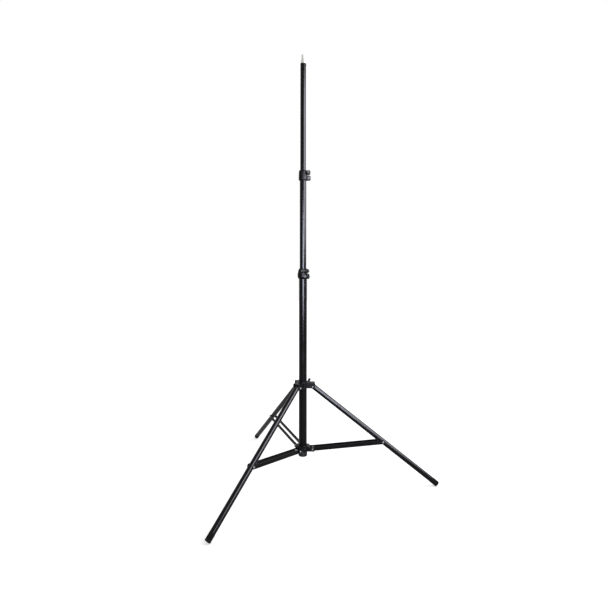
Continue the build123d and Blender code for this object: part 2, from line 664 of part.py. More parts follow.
def collar_knob(c):
    """Fluted round knob whose neck reaches in to the ear."""
    outline = Circle(KNOB_D / 2)
    flute_at = (KNOB_D + KNOB_FLUTE_D) / 2 - KNOB_FLUTE_DEPTH
    for i in range(KNOB_FLUTES):
        turn = Rot(0, 0, (i + 0.5) * 360 / KNOB_FLUTES)
        outline -= turn * Pos(flute_at, 0) * Circle(KNOB_FLUTE_D / 2)
    disc = Pos(0, 0, c.knob_from) * extrude(outline, KNOB_THICKNESS)
    disc = chamfer(disc.edges().group_by(Axis.Z)[-1], KNOB_EDGE)
    knob = disc + rod(KNOB_NECK_D / 2, c.ear_face + SIDE_GAP, c.cap_seat)
    knob -= rod(BOLT_R + SEAT_FIT, 0, c.cap_seat + CUT_PAST)
    knob -= rod(CAP_D / 2 + SEAT_FIT, c.cap_seat, c.cap_seat + 2 * CAP_DEPTH)
    return Pos(c.clamp_x, 0, c.clamp_z) * Rot(90, 0, 0) * knob


def collar_stud(c):
    """Threaded stud of the knob, with its bright cap in the knob's face."""
    stud = rod(BOLT_R, -c.ear_face - NUT_H - BOLT_END, c.cap_seat)
    stud += rod(CAP_D / 2, c.cap_seat, c.cap_seat + CAP_DEPTH)
    cap = Pos(0, 0, c.cap_seat + CAP_DEPTH) * dome(CAP_D / 2, CAP_PROUD)
    return Pos(c.clamp_x, 0, c.clamp_z) * Rot(90, 0, 0) * (stud + cap)


def save_collar(name, c, azimuth, height):
    """Write all pieces of one collar."""
    place = Pos(0, 0, height) * Rot(0, 0, azimuth)
    save(f"{name}_collar", place * collar_body(c))
    save(f"{name}_collar_bush", place * collar_bush(c))
    save(f"{name}_collar_bolt", place * fixing_bolt(c))
    save_group(f"{name}_collar_washers", [place * w for w in fixing_washers(c)])
    save_group(f"{name}_collar_nuts", [place * n for n in collar_nuts(c)])
    save(f"{name}_collar_knob", place * collar_knob(c))
    save(f"{name}_collar_knob_stud", place * collar_stud(c))


# ---- Sliding sections ------------------------------------------------------------------------
def tube_guide(bore_outside, bore_inside, tube_bottom):
    """Plug under an inner tube that slides in the outer one."""
    outer = bore_outside - RUN_FIT
    inner = bore_inside - SEAT_FIT
    hole = inner - GUIDE_WALL
    low = tube_bottom - GUIDE_HEIGHT
    body = tube(outer, hole, low, tube_bottom)
    return body + tube(inner, hole, low, tube_bottom + GUIDE_SPIGOT)


def screw_place(shape):
    """Lay a shape that stands on +Z along the spigot's fixing screw."""
    return Pos(0, 0, top_tube_top - SCREW_DROP) * Rot(0, 0, SCREW_AZIMUTH) * along_x(shape)


def top_tube():
    body = tube(TOP_R, TOP_BORE, top_tube_bottom, top_tube_top)
    return body - screw_place(rod(SCREW_D / 2 + SEAT_FIT, 0, 2 * TOP_R))


def spigot():
    """Turned stud for the lamp, with its shank inside the top tube."""
    flange_top = top_tube_top + SPIGOT_FLANGE
    neck_top = flange_top + SPIGOT_NECK
    stud_top = neck_top + SPIGOT_STUD
    shank = TOP_BORE - SEAT_FIT
    stud_r = SPIGOT_D / 2
    flange_r = SPIGOT_FLANGE_D / 2
    body = turned(
        (0, top_tube_top - SPIGOT_SHANK),
        (shank, top_tube_top - SPIGOT_SHANK),
        (shank, top_tube_top),
        (flange_r, top_tube_top),
        (flange_r, flange_top - SPIGOT_EDGE),
        (flange_r - SPIGOT_EDGE, flange_top),
        (SPIGOT_NECK_D / 2, flange_top),
        (SPIGOT_NECK_D / 2, neck_top),
        (stud_r, neck_top),
        (stud_r, stud_top - SPIGOT_EDGE),
        (stud_r - SPIGOT_EDGE, stud_top),
        (0, stud_top),
    )
    hole_end = shank - SCREW_DEPTH - SCREW_END_GAP
    return body - screw_place(rod(SCREW_D / 2 + SEAT_FIT, hole_end, 2 * shank))


def spigot_screw():
    shank = TOP_BORE - SEAT_FIT
    screw = rod(SCREW_D / 2, shank - SCREW_DEPTH, TOP_R)
    screw += Pos(0, 0, TOP_R) * dome(SCREW_HEAD_D / 2, SCREW_HEAD_H)
    return screw_place(screw)


# ---- Write every node --------------------------------------------------------------------------
save("lower_tube", lower_tube())
save("column_end_cap", end_cap())
save("brace_hub", brace_hub())
save_group("brace_hub_rivets", brace_hub_rivets())
save_group("brace_hub_pins", brace_hub_pins())
save_group("brace_spacers", brace_spacers())

save("leg_hub", leg_hub())
save("leg_hub_liner", leg_hub_liner())
save_group("leg_hub_pins", leg_hub_pins())
save("leg_hub_knob", hub_knob_place(hub_knob()))
save("leg_hub_knob_stud", hub_knob_place(hub_knob_stud()))

leg_pieces = {"tube": leg_tube(), "plug": leg_plug(), "sleeve": leg_sleeve(), "foot": leg_foot()}
for name, azimuth in leg_azimuths.items():
    for piece, shape in leg_pieces.items():
        leaning = Rot(0, -LEG_ANGLE, 0) * shape
        save(f"{name}_leg_{piece}", at_pivot(azimuth, leg_pivot_z, leaning))
    brace = Rot(0, brace_angle, 0)
    for piece, side in (("a", 1), ("b", -1)):
        strip = brace * brace_strip(side)
        save(f"{name}_brace_strip_{piece}", at_pivot(azimuth, brace_pivot_z, strip))
    heads = [at_pivot(azimuth, brace_pivot_z, brace * r) for r in brace_rivets()]
    save_group(f"{name}_brace_rivets", heads)

save_collar("lower", lower_sizes, LOWER_COLLAR_AZIMUTH, lower_collar_z)
save_collar("upper", upper_sizes, UPPER_COLLAR_AZIMUTH, upper_collar_z)

save("middle_tube", tube(MIDDLE_R, MIDDLE_BORE, middle_tube_bottom, middle_tube_top))
save("middle_tube_guide", tube_guide(LOWER_BORE, MIDDLE_BORE, middle_tube_bottom))
save("top_tube", top_tube())
save("top_tube_guide", tube_guide(MIDDLE_BORE, TOP_BORE, top_tube_bottom))
save("spigot", spigot())
save("spigot_screw", spigot_screw())

print(f"leg pivot z {leg_pivot_z:.3f}, brace pivot z {brace_pivot_z:.3f}")
print(f"brace pin along leg {brace_along_leg:.3f}, brace length {brace_length:.3f}")
print(f"brace angle {brace_angle:.4f}, hub travel {hub_travel:.3f}")
print(f"collars {lower_collar_z:.2f} to {lower_collar_top:.2f}")
print(f"and {upper_collar_z:.2f} to {upper_collar_top:.2f}, top {top_tube_top:.2f}")
print(f"middle travel {-middle_down:.1f} to {middle_up:.1f}")
print(f"top travel {-top_down:.1f} to {top_up:.1f}")
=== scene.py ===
"""Looks of a three-section telescopic lighting stand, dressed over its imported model.

Every piece is in metres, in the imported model's own frame: the floor is z = 0, the column
stands on the origin, and one leg points along +X.  Sizes and profiles of turned and
moulded pieces are written in millimetres and become metres by MM.
"""

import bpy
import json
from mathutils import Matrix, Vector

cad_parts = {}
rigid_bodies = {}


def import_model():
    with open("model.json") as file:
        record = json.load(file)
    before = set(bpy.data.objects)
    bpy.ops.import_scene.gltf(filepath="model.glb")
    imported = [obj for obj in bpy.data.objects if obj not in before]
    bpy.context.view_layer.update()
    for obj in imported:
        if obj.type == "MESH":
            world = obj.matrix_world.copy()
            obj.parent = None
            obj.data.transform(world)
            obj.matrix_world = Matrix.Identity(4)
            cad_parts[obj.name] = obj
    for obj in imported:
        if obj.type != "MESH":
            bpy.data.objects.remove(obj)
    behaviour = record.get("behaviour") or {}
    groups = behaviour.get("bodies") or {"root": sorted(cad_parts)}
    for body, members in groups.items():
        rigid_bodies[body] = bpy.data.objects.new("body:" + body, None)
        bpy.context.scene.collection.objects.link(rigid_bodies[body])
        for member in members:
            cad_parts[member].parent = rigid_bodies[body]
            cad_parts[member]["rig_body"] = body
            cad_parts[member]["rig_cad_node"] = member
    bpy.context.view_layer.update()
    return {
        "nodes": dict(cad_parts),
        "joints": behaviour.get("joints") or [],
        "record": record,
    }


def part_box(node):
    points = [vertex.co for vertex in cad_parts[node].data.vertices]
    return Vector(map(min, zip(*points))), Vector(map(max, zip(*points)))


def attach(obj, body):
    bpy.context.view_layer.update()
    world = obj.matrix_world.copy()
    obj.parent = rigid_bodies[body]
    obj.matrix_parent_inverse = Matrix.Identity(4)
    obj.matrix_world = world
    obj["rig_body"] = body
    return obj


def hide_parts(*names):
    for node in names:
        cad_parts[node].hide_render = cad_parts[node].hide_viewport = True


bl_info = {
    "name": "Lighting Stand",
    "version": (1, 0, 0),
    "blender": (4, 5, 0),
    "location": "View3D > Sidebar > Stand",
    "description": "Finish, turned and moulded pieces and studio of a lighting stand",
    "category": "Add Mesh",
}

import json
from math import atan2, cos, inf, pi, radians, sin

import bmesh
import bpy
from bpy.props import FloatProperty, FloatVectorProperty, IntProperty, PointerProperty
from mathutils import Matrix, Vector

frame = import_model()
NODES = frame["nodes"]
JOINTS = {joint["name"]: joint for joint in frame["joints"]}
SLOT = {part["node"]: part["material_slot"] for part in frame["record"]["subparts"]}
LEGS = ("right", "front", "back")
MM = 0.001
AS_MODELLED = Matrix.Identity(4)

# Folds in degrees: a sharper edge than EDGE_FOLD is rounded, faces that meet at less than
# SMOOTH_FOLD shade as one surface, and faces that meet at less than FLAT_FOLD become one.
EDGE_FOLD = 35.0
SMOOTH_FOLD = 32.0
FLAT_FOLD = 0.6
# An arc needs a side or a face that is this many times as wide as itself.
ARC_ROOM = 2.2
# Points that are closer than this, in metres, are one: after a cut, and in a CAD mesh.
CUT_GAP = 2e-6
CAD_GAP = 1e-6
# Lengths below this, in metres, are nothing.
NOTHING = 1e-7


def linear(code):
    """An sRGB hex colour as linear red, green and blue."""
    parts = [int(code[i:i + 2], 16) / 255 for i in (1, 3, 5)]
    return [p / 12.92 if p <= 0.04045 else ((p + 0.055) / 1.055) ** 2.4 for p in parts]


# ---- What a user may change --------------------------------------------------------------
def length(name, mm, text):
    """A small length, kept in metres and shown with its unit."""
    return FloatProperty(name=name, description=text, default=mm * MM, min=0.0, unit="LENGTH",
                         subtype="DISTANCE", precision=5)


def colour(name, code, text):
    """A colour, given as sRGB hex."""
    return FloatVectorProperty(name=name, description=text, default=linear(code), size=3,
                               min=0.0, max=1.0, subtype="COLOR")


class StandSizes(bpy.types.PropertyGroup):
    casting_edge: length("Casting edge", 0.35,
                         "Rounding along the edges of the cast hubs and collars")
    knob_edge: length("Wing knob edge", 0.7,
                      "Rounding along the edges of the hub's wing knob")
    foot_groove: length("Foot groove depth", 0.9,
                        "Depth of the grooves round each rubber foot")
    flute_depth: length("Flute depth", 1.5, "Depth of the flutes round a collar knob")
    knob_dish: length("Knob dish depth", 1.2, "Depth of the dish in a collar knob's face")
    thread_pitch: length("Thread pitch", 1.0, "Pitch of the collars' bolts and studs")
    flutes: IntProperty(name="Flutes", description="Flutes round a collar knob",
                        default=6, min=3, max=12)


class StandColours(bpy.types.PropertyGroup):
    tube: colour("Tube", "#050508", "Powder coat on the round tubes")
    strip: colour("Strip", "#040405", "Powder coat on the brace strips and the spigot's screw")
    casting: colour("Casting", "#050507", "Paint on the die-cast hubs and collars")
    nylon: colour("Nylon", "#0a0a0b", "Moulded nylon of knobs, bushes and end fittings")
    rubber: colour("Rubber", "#0b0b0c", "Moulded rubber of the feet")
    zinc: colour("Zinc", "#96999d", "Bright zinc on bolts, pins and rivets")
    chrome: colour("Chrome", "#c9c9c4", "Plate on the lamp spigot")
    floor: colour("Floor", "#f4f4f4", "Studio floor")


# ---- Modelling helpers -------------------------------------------------------------------
def choose(piece):
    """Make a piece the only one selected, and active."""
    bpy.ops.object.select_all(action="DESELECT")
    piece.select_set(True)
    bpy.context.view_layer.objects.active = piece


def enter_edit(piece):
    """Enter edit mode on one piece, with all of it selected."""
    choose(piece)
    bpy.ops.object.mode_set(mode="EDIT")
    bpy.ops.mesh.select_all(action="SELECT")


def leave_edit():
    bpy.ops.object.mode_set(mode="OBJECT")


def merge(piece):
    """Merge the points that a cut or an eased edge leaves on top of each other."""
    enter_edit(piece)
    bpy.ops.mesh.remove_doubles(threshold=CUT_GAP)
    leave_edit()


def begin(name, primitive, **settings):
    """Add a primitive at the origin, alone in the selection, and name it."""
    bpy.ops.object.select_all(action="DESELECT")
    primitive(location=(0, 0, 0), **settings)
    piece = bpy.context.object
    piece.name = piece.data.name = name
    return piece


def copy_of(piece, name):
    """A copy of a piece, with its own mesh."""
    copy = piece.copy()
    copy.data = piece.data.copy()
    copy.name = copy.data.name = name
    bpy.context.collection.objects.link(copy)
    return copy


def drop(piece):
    """Take away a piece that was only modelled to be copied or to cut with."""
    bpy.data.meshes.remove(piece.data)


def pick(piece, kind, test):
    """In edit mode, select only the verts, edges or faces that pass the test."""
    bpy.ops.mesh.select_mode(type=kind[:-1].upper())
    bpy.ops.mesh.select_all(action="DESELECT")
    mesh = bmesh.from_edit_mesh(piece.data)
    for item in getattr(mesh, kind):
        if test(item):
            item.select_set(True)
    mesh.select_flush_mode()
    bmesh.update_edit_mesh(piece.data)


def shift(piece, rise, test):
    """Move the points that pass the test along Z, by a rise in millimetres."""
    enter_edit(piece)
    pick(piece, "verts", test)
    bpy.ops.transform.translate(value=(0, 0, rise * MM))
    leave_edit()


def height_of(face):
    return face.calc_center_median().z


def pick_cap(piece, end):
    """Select the flat face at an end: max for the top, min for the bottom."""
    level = end(map(height_of, bmesh.from_edit_mesh(piece.data).faces))
    pick(piece, "faces",
         lambda face: abs(height_of(face) - level) < NOTHING and abs(face.normal.z) > 0.5)


def resize(scale, height=0.0):
    """Draw the selection in or out about the Z axis, at a height that stays."""
    bpy.ops.transform.resize(value=(scale, scale, 1), center_override=(0, 0, height * MM))


def raise_face(radius, height, next_radius, next_height):
    """Extrude the selected round face to the next radius and height of a profile."""
    step = (0, 0, (next_height - height) * MM)
    bpy.ops.mesh.extrude_region_move(TRANSFORM_OT_translate={"value": step})
    if next_radius != radius:
        resize(next_radius / radius, next_height)


def turn_up(name, profile, sides=64):
    """A turned piece from (radius, height) steps, by raising a round face through them."""
    radius, height = profile[0]
    piece = begin(name, bpy.ops.mesh.primitive_circle_add, vertices=sides,
                  radius=radius * MM, fill_type="NGON")
    enter_edit(piece)
    bpy.ops.transform.translate(value=(0, 0, height * MM))
    for next_radius, next_height in profile[1:]:
        raise_face(radius, height, next_radius, next_height)
        radius, height = next_radius, next_height
    bpy.ops.mesh.select_all(action="SELECT")
    bpy.ops.mesh.normals_make_consistent(inside=False)
    leave_edit()
    return piece


def rounded(corners, radius, steps=3):
    """A profile's (radius, height) corners, each eased by a short arc of that size."""
    path = [corners[0]]
    for before, corner, after in zip(corners, corners[1:], corners[2:]):
        here = Vector(corner)
        into, out = Vector(before) - here, Vector(after) - here
        ease = min(radius, into.length / ARC_ROOM, out.length / ARC_ROOM)
        start, end = here + into.normalized() * ease, here + out.normalized() * ease
        for i in range(steps + 1):
            t = i / steps
            path.append(tuple(start * (1 - t) ** 2 + here * 2 * t * (1 - t) + end * t**2))
    path.append(corners[-1])
    return path


def dome(radius, height, base, steps=6):
    """Profile of a cap of a ball that stands on base."""
    ball = (radius**2 + height**2) / (2 * height)
    rings = [radius * cos(i / steps * pi / 2) for i in range(steps)]
    return [(ring, base + height - ball + (ball**2 - ring**2) ** 0.5) for ring in rings]


def merged_copy(name, node):
    """A copy of a CAD node as one clean mesh: points merged, flat areas joined."""
    piece = copy_of(NODES[node], name)
    piece.parent = None
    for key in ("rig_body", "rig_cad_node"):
        del piece[key]
    enter_edit(piece)
    bpy.ops.mesh.customdata_custom_splitnormals_clear()
    bpy.ops.mesh.remove_doubles(threshold=CAD_GAP)
    bpy.ops.mesh.dissolve_limited(angle_limit=radians(FLAT_FOLD))
    leave_edit()
    return piece


def room(face, edge):
    """How far a face reaches from the middle of one of its edges, square to it."""
    loop = next(loop for loop in face.loops if loop.edge == edge)
    start, end = loop.vert.co, loop.link_loop_next.vert.co
    run, middle = (end - start).normalized(), (start + end) / 2
    inward = face.normal.cross(run)
    reach = inf
    for other in face.loops:
        a, b = other.vert.co - middle, other.link_loop_next.vert.co - middle
        s, t = a.dot(run), b.dot(run)
        if other != loop and s != t and s * t <= 0:
            distance = (a + (b - a) * s / (s - t)).dot(inward)
            if distance > NOTHING:
                reach = min(reach, distance)
    return reach


def ease_edges(piece, width, stays=lambda edge: False):
    """Round a piece's sharp edges, but not where a wall is too thin or an edge stays."""
    def eased(edge):
        return (edge.calc_face_angle(0) > radians(EDGE_FOLD) and not stays(edge)
                and all(room(face, edge) > ARC_ROOM * width for face in edge.link_faces))

    enter_edit(piece)
    pick(piece, "edges", eased)
    bpy.ops.mesh.bevel(offset=width, segments=3, affect="EDGES", clamp_overlap=False)
    leave_edit()
    merge(piece)


def carve(piece, tool, operation):
    """Join a tool to a piece, cut the piece with it or keep what they share; the tool goes."""
    choose(piece)
    change = piece.modifiers.new("carve", "BOOLEAN")
    change.operation = operation
    change.object = tool
    bpy.ops.object.modifier_apply(modifier=change.name)
    drop(tool)
    merge(piece)


def along(axis, origin):
    """A place whose +Z points along the axis."""
    turn = Vector(axis).to_track_quat("Z", "Y").to_matrix().to_4x4()
    return Matrix.Translation(origin) @ turn


def up(rise):
    """A step along +Z, in millimetres."""
    return Matrix.Translation((0, 0, rise * MM))


def joint_place(name):
    """Where a joint stands and how far round the column, in radians."""
    at = Vector(JOINTS[name]["pos_m"])
    return at, atan2(at.y, at.x)


# ---- Materials ---------------------------------------------------------------------------
# Inputs that share a name go by number.  MapRange: 0 is its value, 1 and 2 the range it
# comes in, 3 and 4 the range it goes out in.  Mix: 0 is its factor, 6 and 7 its colours.
def add(tree, kind, inputs=None, **settings):
    """Add a node with its settings.

    Each input is a value, an output of an earlier node, or a node for its output in use.
    """
    made = tree.nodes.new("ShaderNode" + kind)
    for key, value in settings.items():
        setattr(made, key, value)
    for key, value in (inputs or {}).items():
        socket = made.inputs[key]
        if isinstance(value, bpy.types.Node):
            value = next(output for output in value.outputs if output.enabled)
        if isinstance(value, bpy.types.NodeSocket):
            tree.links.new(value, socket)
        elif socket.type == "RGBA":
            socket.default_value = (*value[:3], 1)
        else:
            socket.default_value = value
    return made


def blank(name):
    """A material with an empty tree."""
    made = bpy.data.materials.new(name)
    made.use_nodes = True
    made.node_tree.nodes.clear()
    return made, made.node_tree


def object_point(tree, scale=(1, 1, 1)):
    """Object coordinates in metres, stretched by a scale."""
    source = add(tree, "TexCoord")
    return add(tree, "Mapping", {0: source.outputs["Object"], "Scale": scale})


def cells(mm):
    """A pattern's scale: whole cells to the metre, for cells of this many millimetres."""
    return round(1 / (mm * MM))


def edge_mask(tree, radius, low, high):
    """1 along sharp edges, where handling rubs a coating; 0 on flats.  The radius is in mm."""
    soft = add(tree, "Bevel", {"Radius": radius * MM}, samples=6)
    plain = add(tree, "NewGeometry").outputs["Normal"]
    same = add(tree, "VectorMath", {0: soft, 1: plain}, operation="DOT_PRODUCT")
    return add(tree, "MapRange", {0: same, 1: high, 2: low})


def lighter(base, gain):
    return [min(c * gain, 1.0) for c in base]


def surface(made, tone, rough, normal, **constants):
    """End a material: linked colour, roughness and normal, and constants on their sockets."""
    inputs = {"Base Color": tone, "Roughness": rough, "Normal": normal}
    inputs.update({key.replace("_", " "): value for key, value in constants.items()})
    shader = add(made.node_tree, "BsdfPrincipled", inputs)
    add(made.node_tree, "OutputMaterial", {0: shader})
    return made


# The blacks' specular levels are below the 0.5 of a real coat, because the studio is white
# all round and its reflection would turn them grey.
def gloss_powder_coat(base):
    """Gloss black polyester powder coat baked on steel tube.

    It gives the eye deep black with soft bright streaks down the tube, a faint orange
    peel, and dull bands where clamps and hands have rubbed.
    """
    made, tree = blank("gloss_powder_coat_on_steel_tube")
    point = object_point(tree)
    # Real orange peel has 1 mm cells.  They are drawn 5 mm across so that they show.
    peel = add(tree, "TexNoise", {"Vector": point, "Scale": cells(5)})
    # Rub marks run down the column: 2 mm wide, 60 mm long.
    streak_point = object_point(tree, (1.0, 1.0, 0.035))
    streak = add(tree, "TexNoise", {"Vector": streak_point, "Scale": cells(2.083),
                                    "Detail": 3.0, "Roughness": 0.6})
    # Handling leaves duller patches about 90 mm across.
    patch = add(tree, "TexNoise", {"Vector": point, "Scale": cells(90),
                                   "Detail": 3.0, "Roughness": 0.55})
    dull = add(tree, "MapRange", {0: patch, 1: 0.42, 2: 0.68})
    scuff = add(tree, "MapRange", {0: streak, 1: 0.60, 2: 0.74})
    worn = add(tree, "Math", {0: dull, 1: scuff}, operation="MULTIPLY")
    edge = edge_mask(tree, 0.6, 0.93, 0.995)
    tone = add(tree, "Mix", {0: dull, 6: base, 7: lighter(base, 1.5)}, data_type="RGBA")
    tone = add(tree, "Mix", {0: worn, 6: tone, 7: lighter(base, 4.0)}, data_type="RGBA")
    tone = add(tree, "Mix", {0: edge, 6: tone, 7: lighter(base, 5.0)}, data_type="RGBA")
    rough = add(tree, "MapRange", {0: patch, 1: 0.3, 2: 0.7, 3: 0.15, 4: 0.25})
    rough = add(tree, "Math", {0: worn, 1: 0.18, 2: rough}, operation="MULTIPLY_ADD")
    bump = add(tree, "Bump", {"Height": peel, "Strength": 0.05, "Distance": 0.3 * MM})
    return surface(made, tone, rough, bump, IOR=1.5, Specular_IOR_Level=0.10)


def satin_powder_coat(base):
    """Satin black powder coat on rolled steel strip, and on the spigot's screw.

    It is flatter than the tube's coat: a fine even grain, and a thin grey line where
    sheared edges have lost their coat.
    """
    made, tree = blank("satin_powder_coat_on_steel_strip")
    point = object_point(tree)
    # Grain of 0.5 mm, drawn at 3 mm.
    grain = add(tree, "TexNoise", {"Vector": point, "Scale": cells(2.94),
                                   "Detail": 3.0, "Roughness": 0.6})
    # Handling leaves paler patches about 55 mm across.
    patch = add(tree, "TexNoise", {"Vector": point, "Scale": cells(55),
                                   "Detail": 4.0, "Roughness": 0.6})
    # Chips in the coat are up to 4 mm across and only on the edges.
    chip = add(tree, "TexVoronoi", {"Vector": point, "Scale": cells(3.85)})
    edge = edge_mask(tree, 0.7, 0.90, 0.99)
    chipped = add(tree, "MapRange", {0: chip, 1: 0.35, 2: 0.62})
    bare = add(tree, "Math", {0: edge, 1: chipped}, operation="MULTIPLY")
    pale = add(tree, "MapRange", {0: patch, 1: 0.4, 2: 0.65})
    tone = add(tree, "Mix", {0: pale, 6: base, 7: lighter(base, 1.7)}, data_type="RGBA")
    tone = add(tree, "Mix", {0: edge, 6: tone, 7: lighter(base, 4.0)}, data_type="RGBA")
    tone = add(tree, "Mix", {0: bare, 6: tone, 7: linear("#5a5a5c")}, data_type="RGBA")
    rough = add(tree, "MapRange", {0: patch, 1: 0.35, 2: 0.7, 3: 0.34, 4: 0.46})
    bump = add(tree, "Bump", {"Height": grain, "Strength": 0.12, "Distance": 0.5 * MM})
    return surface(made, tone, rough, bump, IOR=1.5, Specular_IOR_Level=0.05)


def painted_die_casting(base):
    """Black stoving paint on zinc and aluminium die castings.

    The cast skin shows through the paint as a fine pebble, in cloudy paler patches, and
    corners are polished paler by handling.
    """
    made, tree = blank("stoving_paint_on_die_casting")
    point = object_point(tree)
    # Cast pebble of 0.8 mm, drawn at 2.5 mm.
    pebble = add(tree, "TexVoronoi", {"Vector": point, "Scale": cells(2.5)},
                 feature="SMOOTH_F1")
    # Handling and dust leave patches about 22 mm across.
    patch = add(tree, "TexNoise", {"Vector": point, "Scale": cells(22),
                                   "Detail": 4.0, "Roughness": 0.6})
    edge = edge_mask(tree, 1.2, 0.86, 0.985)
    handled = add(tree, "MapRange", {0: patch, 1: 0.38, 2: 0.62})
    rubbed = add(tree, "Math", {0: edge, 1: handled}, operation="MULTIPLY")
    pale = add(tree, "MapRange", {0: patch, 1: 0.4, 2: 0.7})
    tone = add(tree, "Mix", {0: pale, 6: base, 7: lighter(base, 1.6)}, data_type="RGBA")
    tone = add(tree, "Mix", {0: rubbed, 6: tone, 7: linear("#4a4a4d")}, data_type="RGBA")
    rough = add(tree, "MapRange", {0: patch, 1: 0.3, 2: 0.7, 3: 0.30, 4: 0.44})
    rough = add(tree, "Math", {0: rubbed, 1: -0.08, 2: rough}, operation="MULTIPLY_ADD")
    bump = add(tree, "Bump", {"Height": pebble, "Strength": 0.16, "Distance": 0.5 * MM})
    return surface(made, tone, rough, bump, IOR=1.5, Specular_IOR_Level=0.08)


def moulded_nylon(base):
    """Glass-filled nylon 66, injection moulded in a spark-eroded tool.

    It has an even matt grain and slight flow clouding. Its edges are made shiny by a lower
    roughness, and paler by a painted sheen.
    """
    made, tree = blank("moulded_glass_filled_nylon")
    point = object_point(tree)
    # Spark-eroded grain of 0.2 mm, drawn at 1.5 mm.
    grain = add(tree, "TexNoise", {"Vector": point, "Scale": cells(1.515), "Roughness": 0.7})
    # Flow clouds are about 14 mm across.
    cloud = add(tree, "TexNoise", {"Vector": point, "Scale": cells(14.3),
                                   "Detail": 3.0, "Distortion": 0.6})
    edge = edge_mask(tree, 0.8, 0.88, 0.99)
    pale = add(tree, "MapRange", {0: cloud, 1: 0.35, 2: 0.7})
    tone = add(tree, "Mix", {0: pale, 6: base, 7: lighter(base, 1.8)}, data_type="RGBA")
    # Painted sheen: the edges are painted paler. The lower roughness on them below is the real
    # shine.
    tone = add(tree, "Mix", {0: edge, 6: tone, 7: lighter(base, 2.6)}, data_type="RGBA")
    rough = add(tree, "MapRange", {0: grain, 1: 0.3, 2: 0.7, 3: 0.46, 4: 0.60})
    rough = add(tree, "Math", {0: edge, 1: -0.16, 2: rough}, operation="MULTIPLY_ADD")
    bump = add(tree, "Bump", {"Height": grain, "Strength": 0.18, "Distance": 0.4 * MM})
    return surface(made, tone, rough, bump, IOR=1.53, Specular_IOR_Level=0.14)


def moulded_rubber(base):
    """Black vulcanised rubber, compression moulded.

    It is the deadest black on the stand, with grey dust where it is near the floor.
    """
    made, tree = blank("moulded_vulcanised_rubber")
    source = add(tree, "TexCoord")
    place = add(tree, "SeparateXYZ", {0: source.outputs["Object"]})
    point = object_point(tree)
    # Mould grain of 0.1 mm, drawn at 2 mm.
    grit = add(tree, "TexNoise", {"Vector": point, "Scale": cells(2),
                                  "Detail": 4.0, "Roughness": 0.7})
    # Bloom on the rubber and gaps in the dust are about 17 mm across.
    cloud = add(tree, "TexNoise", {"Vector": point, "Scale": cells(16.6),
                                   "Detail": 4.0, "Roughness": 0.6})
    # Dust reaches about 20 mm up from the floor.
    low = add(tree, "MapRange", {0: place.outputs["Z"], 1: 2 * MM, 2: 22 * MM, 3: 1, 4: 0})
    settled = add(tree, "MapRange", {0: cloud, 1: 0.35, 2: 0.65})
    dust = add(tree, "Math", {0: low, 1: settled}, operation="MULTIPLY")
    pale = add(tree, "MapRange", {0: cloud, 1: 0.4, 2: 0.7})
    tone = add(tree, "Mix", {0: pale, 6: base, 7: lighter(base, 1.7)}, data_type="RGBA")
    tone = add(tree, "Mix", {0: dust, 6: tone, 7: linear("#3b3a38")}, data_type="RGBA")
    rough = add(tree, "MapRange", {0: grit, 1: 0.3, 2: 0.7, 3: 0.72, 4: 0.88})
    bump = add(tree, "Bump", {"Height": grit, "Strength": 0.25, "Distance": 0.4 * MM})
    return surface(made, tone, rough, bump, IOR=1.52, Specular_IOR_Level=0.15)


def zinc_plate(base):
    """Bright zinc electroplate, passivated clear, on cold-headed steel.

    It is silver with a faint blue and straw bloom, and fine drag marks.
    """
    made, tree = blank("bright_zinc_plate_on_steel")
    point = object_point(tree)
    # The bloom's clouds are about 7 mm across.
    bloom = add(tree, "TexNoise", {"Vector": point, "Scale": cells(6.67), "Detail": 3.0})
    # Drag marks of 0.1 mm, drawn 0.6 mm wide and 5 mm long.
    drag_point = object_point(tree, (1.0, 1.0, 0.12))
    drag = add(tree, "TexNoise", {"Vector": drag_point, "Scale": cells(0.625),
                                  "Detail": 3.0, "Roughness": 0.6})
    blue = add(tree, "MapRange", {0: bloom, 1: 0.35, 2: 0.5})
    straw = add(tree, "MapRange", {0: bloom, 1: 0.55, 2: 0.7})
    tone = add(tree, "Mix", {0: blue, 6: linear("#84898f"), 7: base}, data_type="RGBA")
    tone = add(tree, "Mix", {0: straw, 6: tone, 7: linear("#a29d8e")}, data_type="RGBA")
    rough = add(tree, "MapRange", {0: drag, 1: 0.3, 2: 0.7, 3: 0.34, 4: 0.52})
    bump = add(tree, "Bump", {"Height": drag, "Strength": 0.10, "Distance": 0.2 * MM})
    return surface(made, tone, rough, bump, Metallic=1.0)


def chrome_plate(base):
    """Nickel-chrome plate on a turned steel stud.

    It mirrors the studio in pale bands, with the lathe's rings faintly under the plate and
    rub marks where lamp sockets have been clamped.
    """
    made, tree = blank("chrome_plate_on_turned_steel")
    source = add(tree, "TexCoord")
    # Feed rings of 0.2 mm, drawn 2.4 mm apart: a wave of scale 1 has a ring each 314 mm.
    rings = add(tree, "TexWave", {"Vector": source.outputs["Object"], "Scale": 130.0,
                                  "Distortion": 0.4, "Detail": 1.0},
                wave_type="BANDS", bands_direction="Z")
    # Rub marks are about 4 mm across.
    rub = add(tree, "TexNoise", {"Vector": object_point(tree), "Scale": cells(3.85),
                                 "Detail": 4.0, "Roughness": 0.6})
    rubbed = add(tree, "MapRange", {0: rub, 1: 0.45, 2: 0.75})
    tone = add(tree, "Mix", {0: rubbed, 6: base, 7: linear("#a9a9a2")}, data_type="RGBA")
    rough = add(tree, "MapRange", {0: rub, 1: 0.35, 2: 0.75, 3: 0.20, 4: 0.34})
    bump = add(tree, "Bump", {"Height": rings, "Strength": 0.06, "Distance": 0.2 * MM})
    return surface(made, tone, rough, bump, Metallic=1.0)


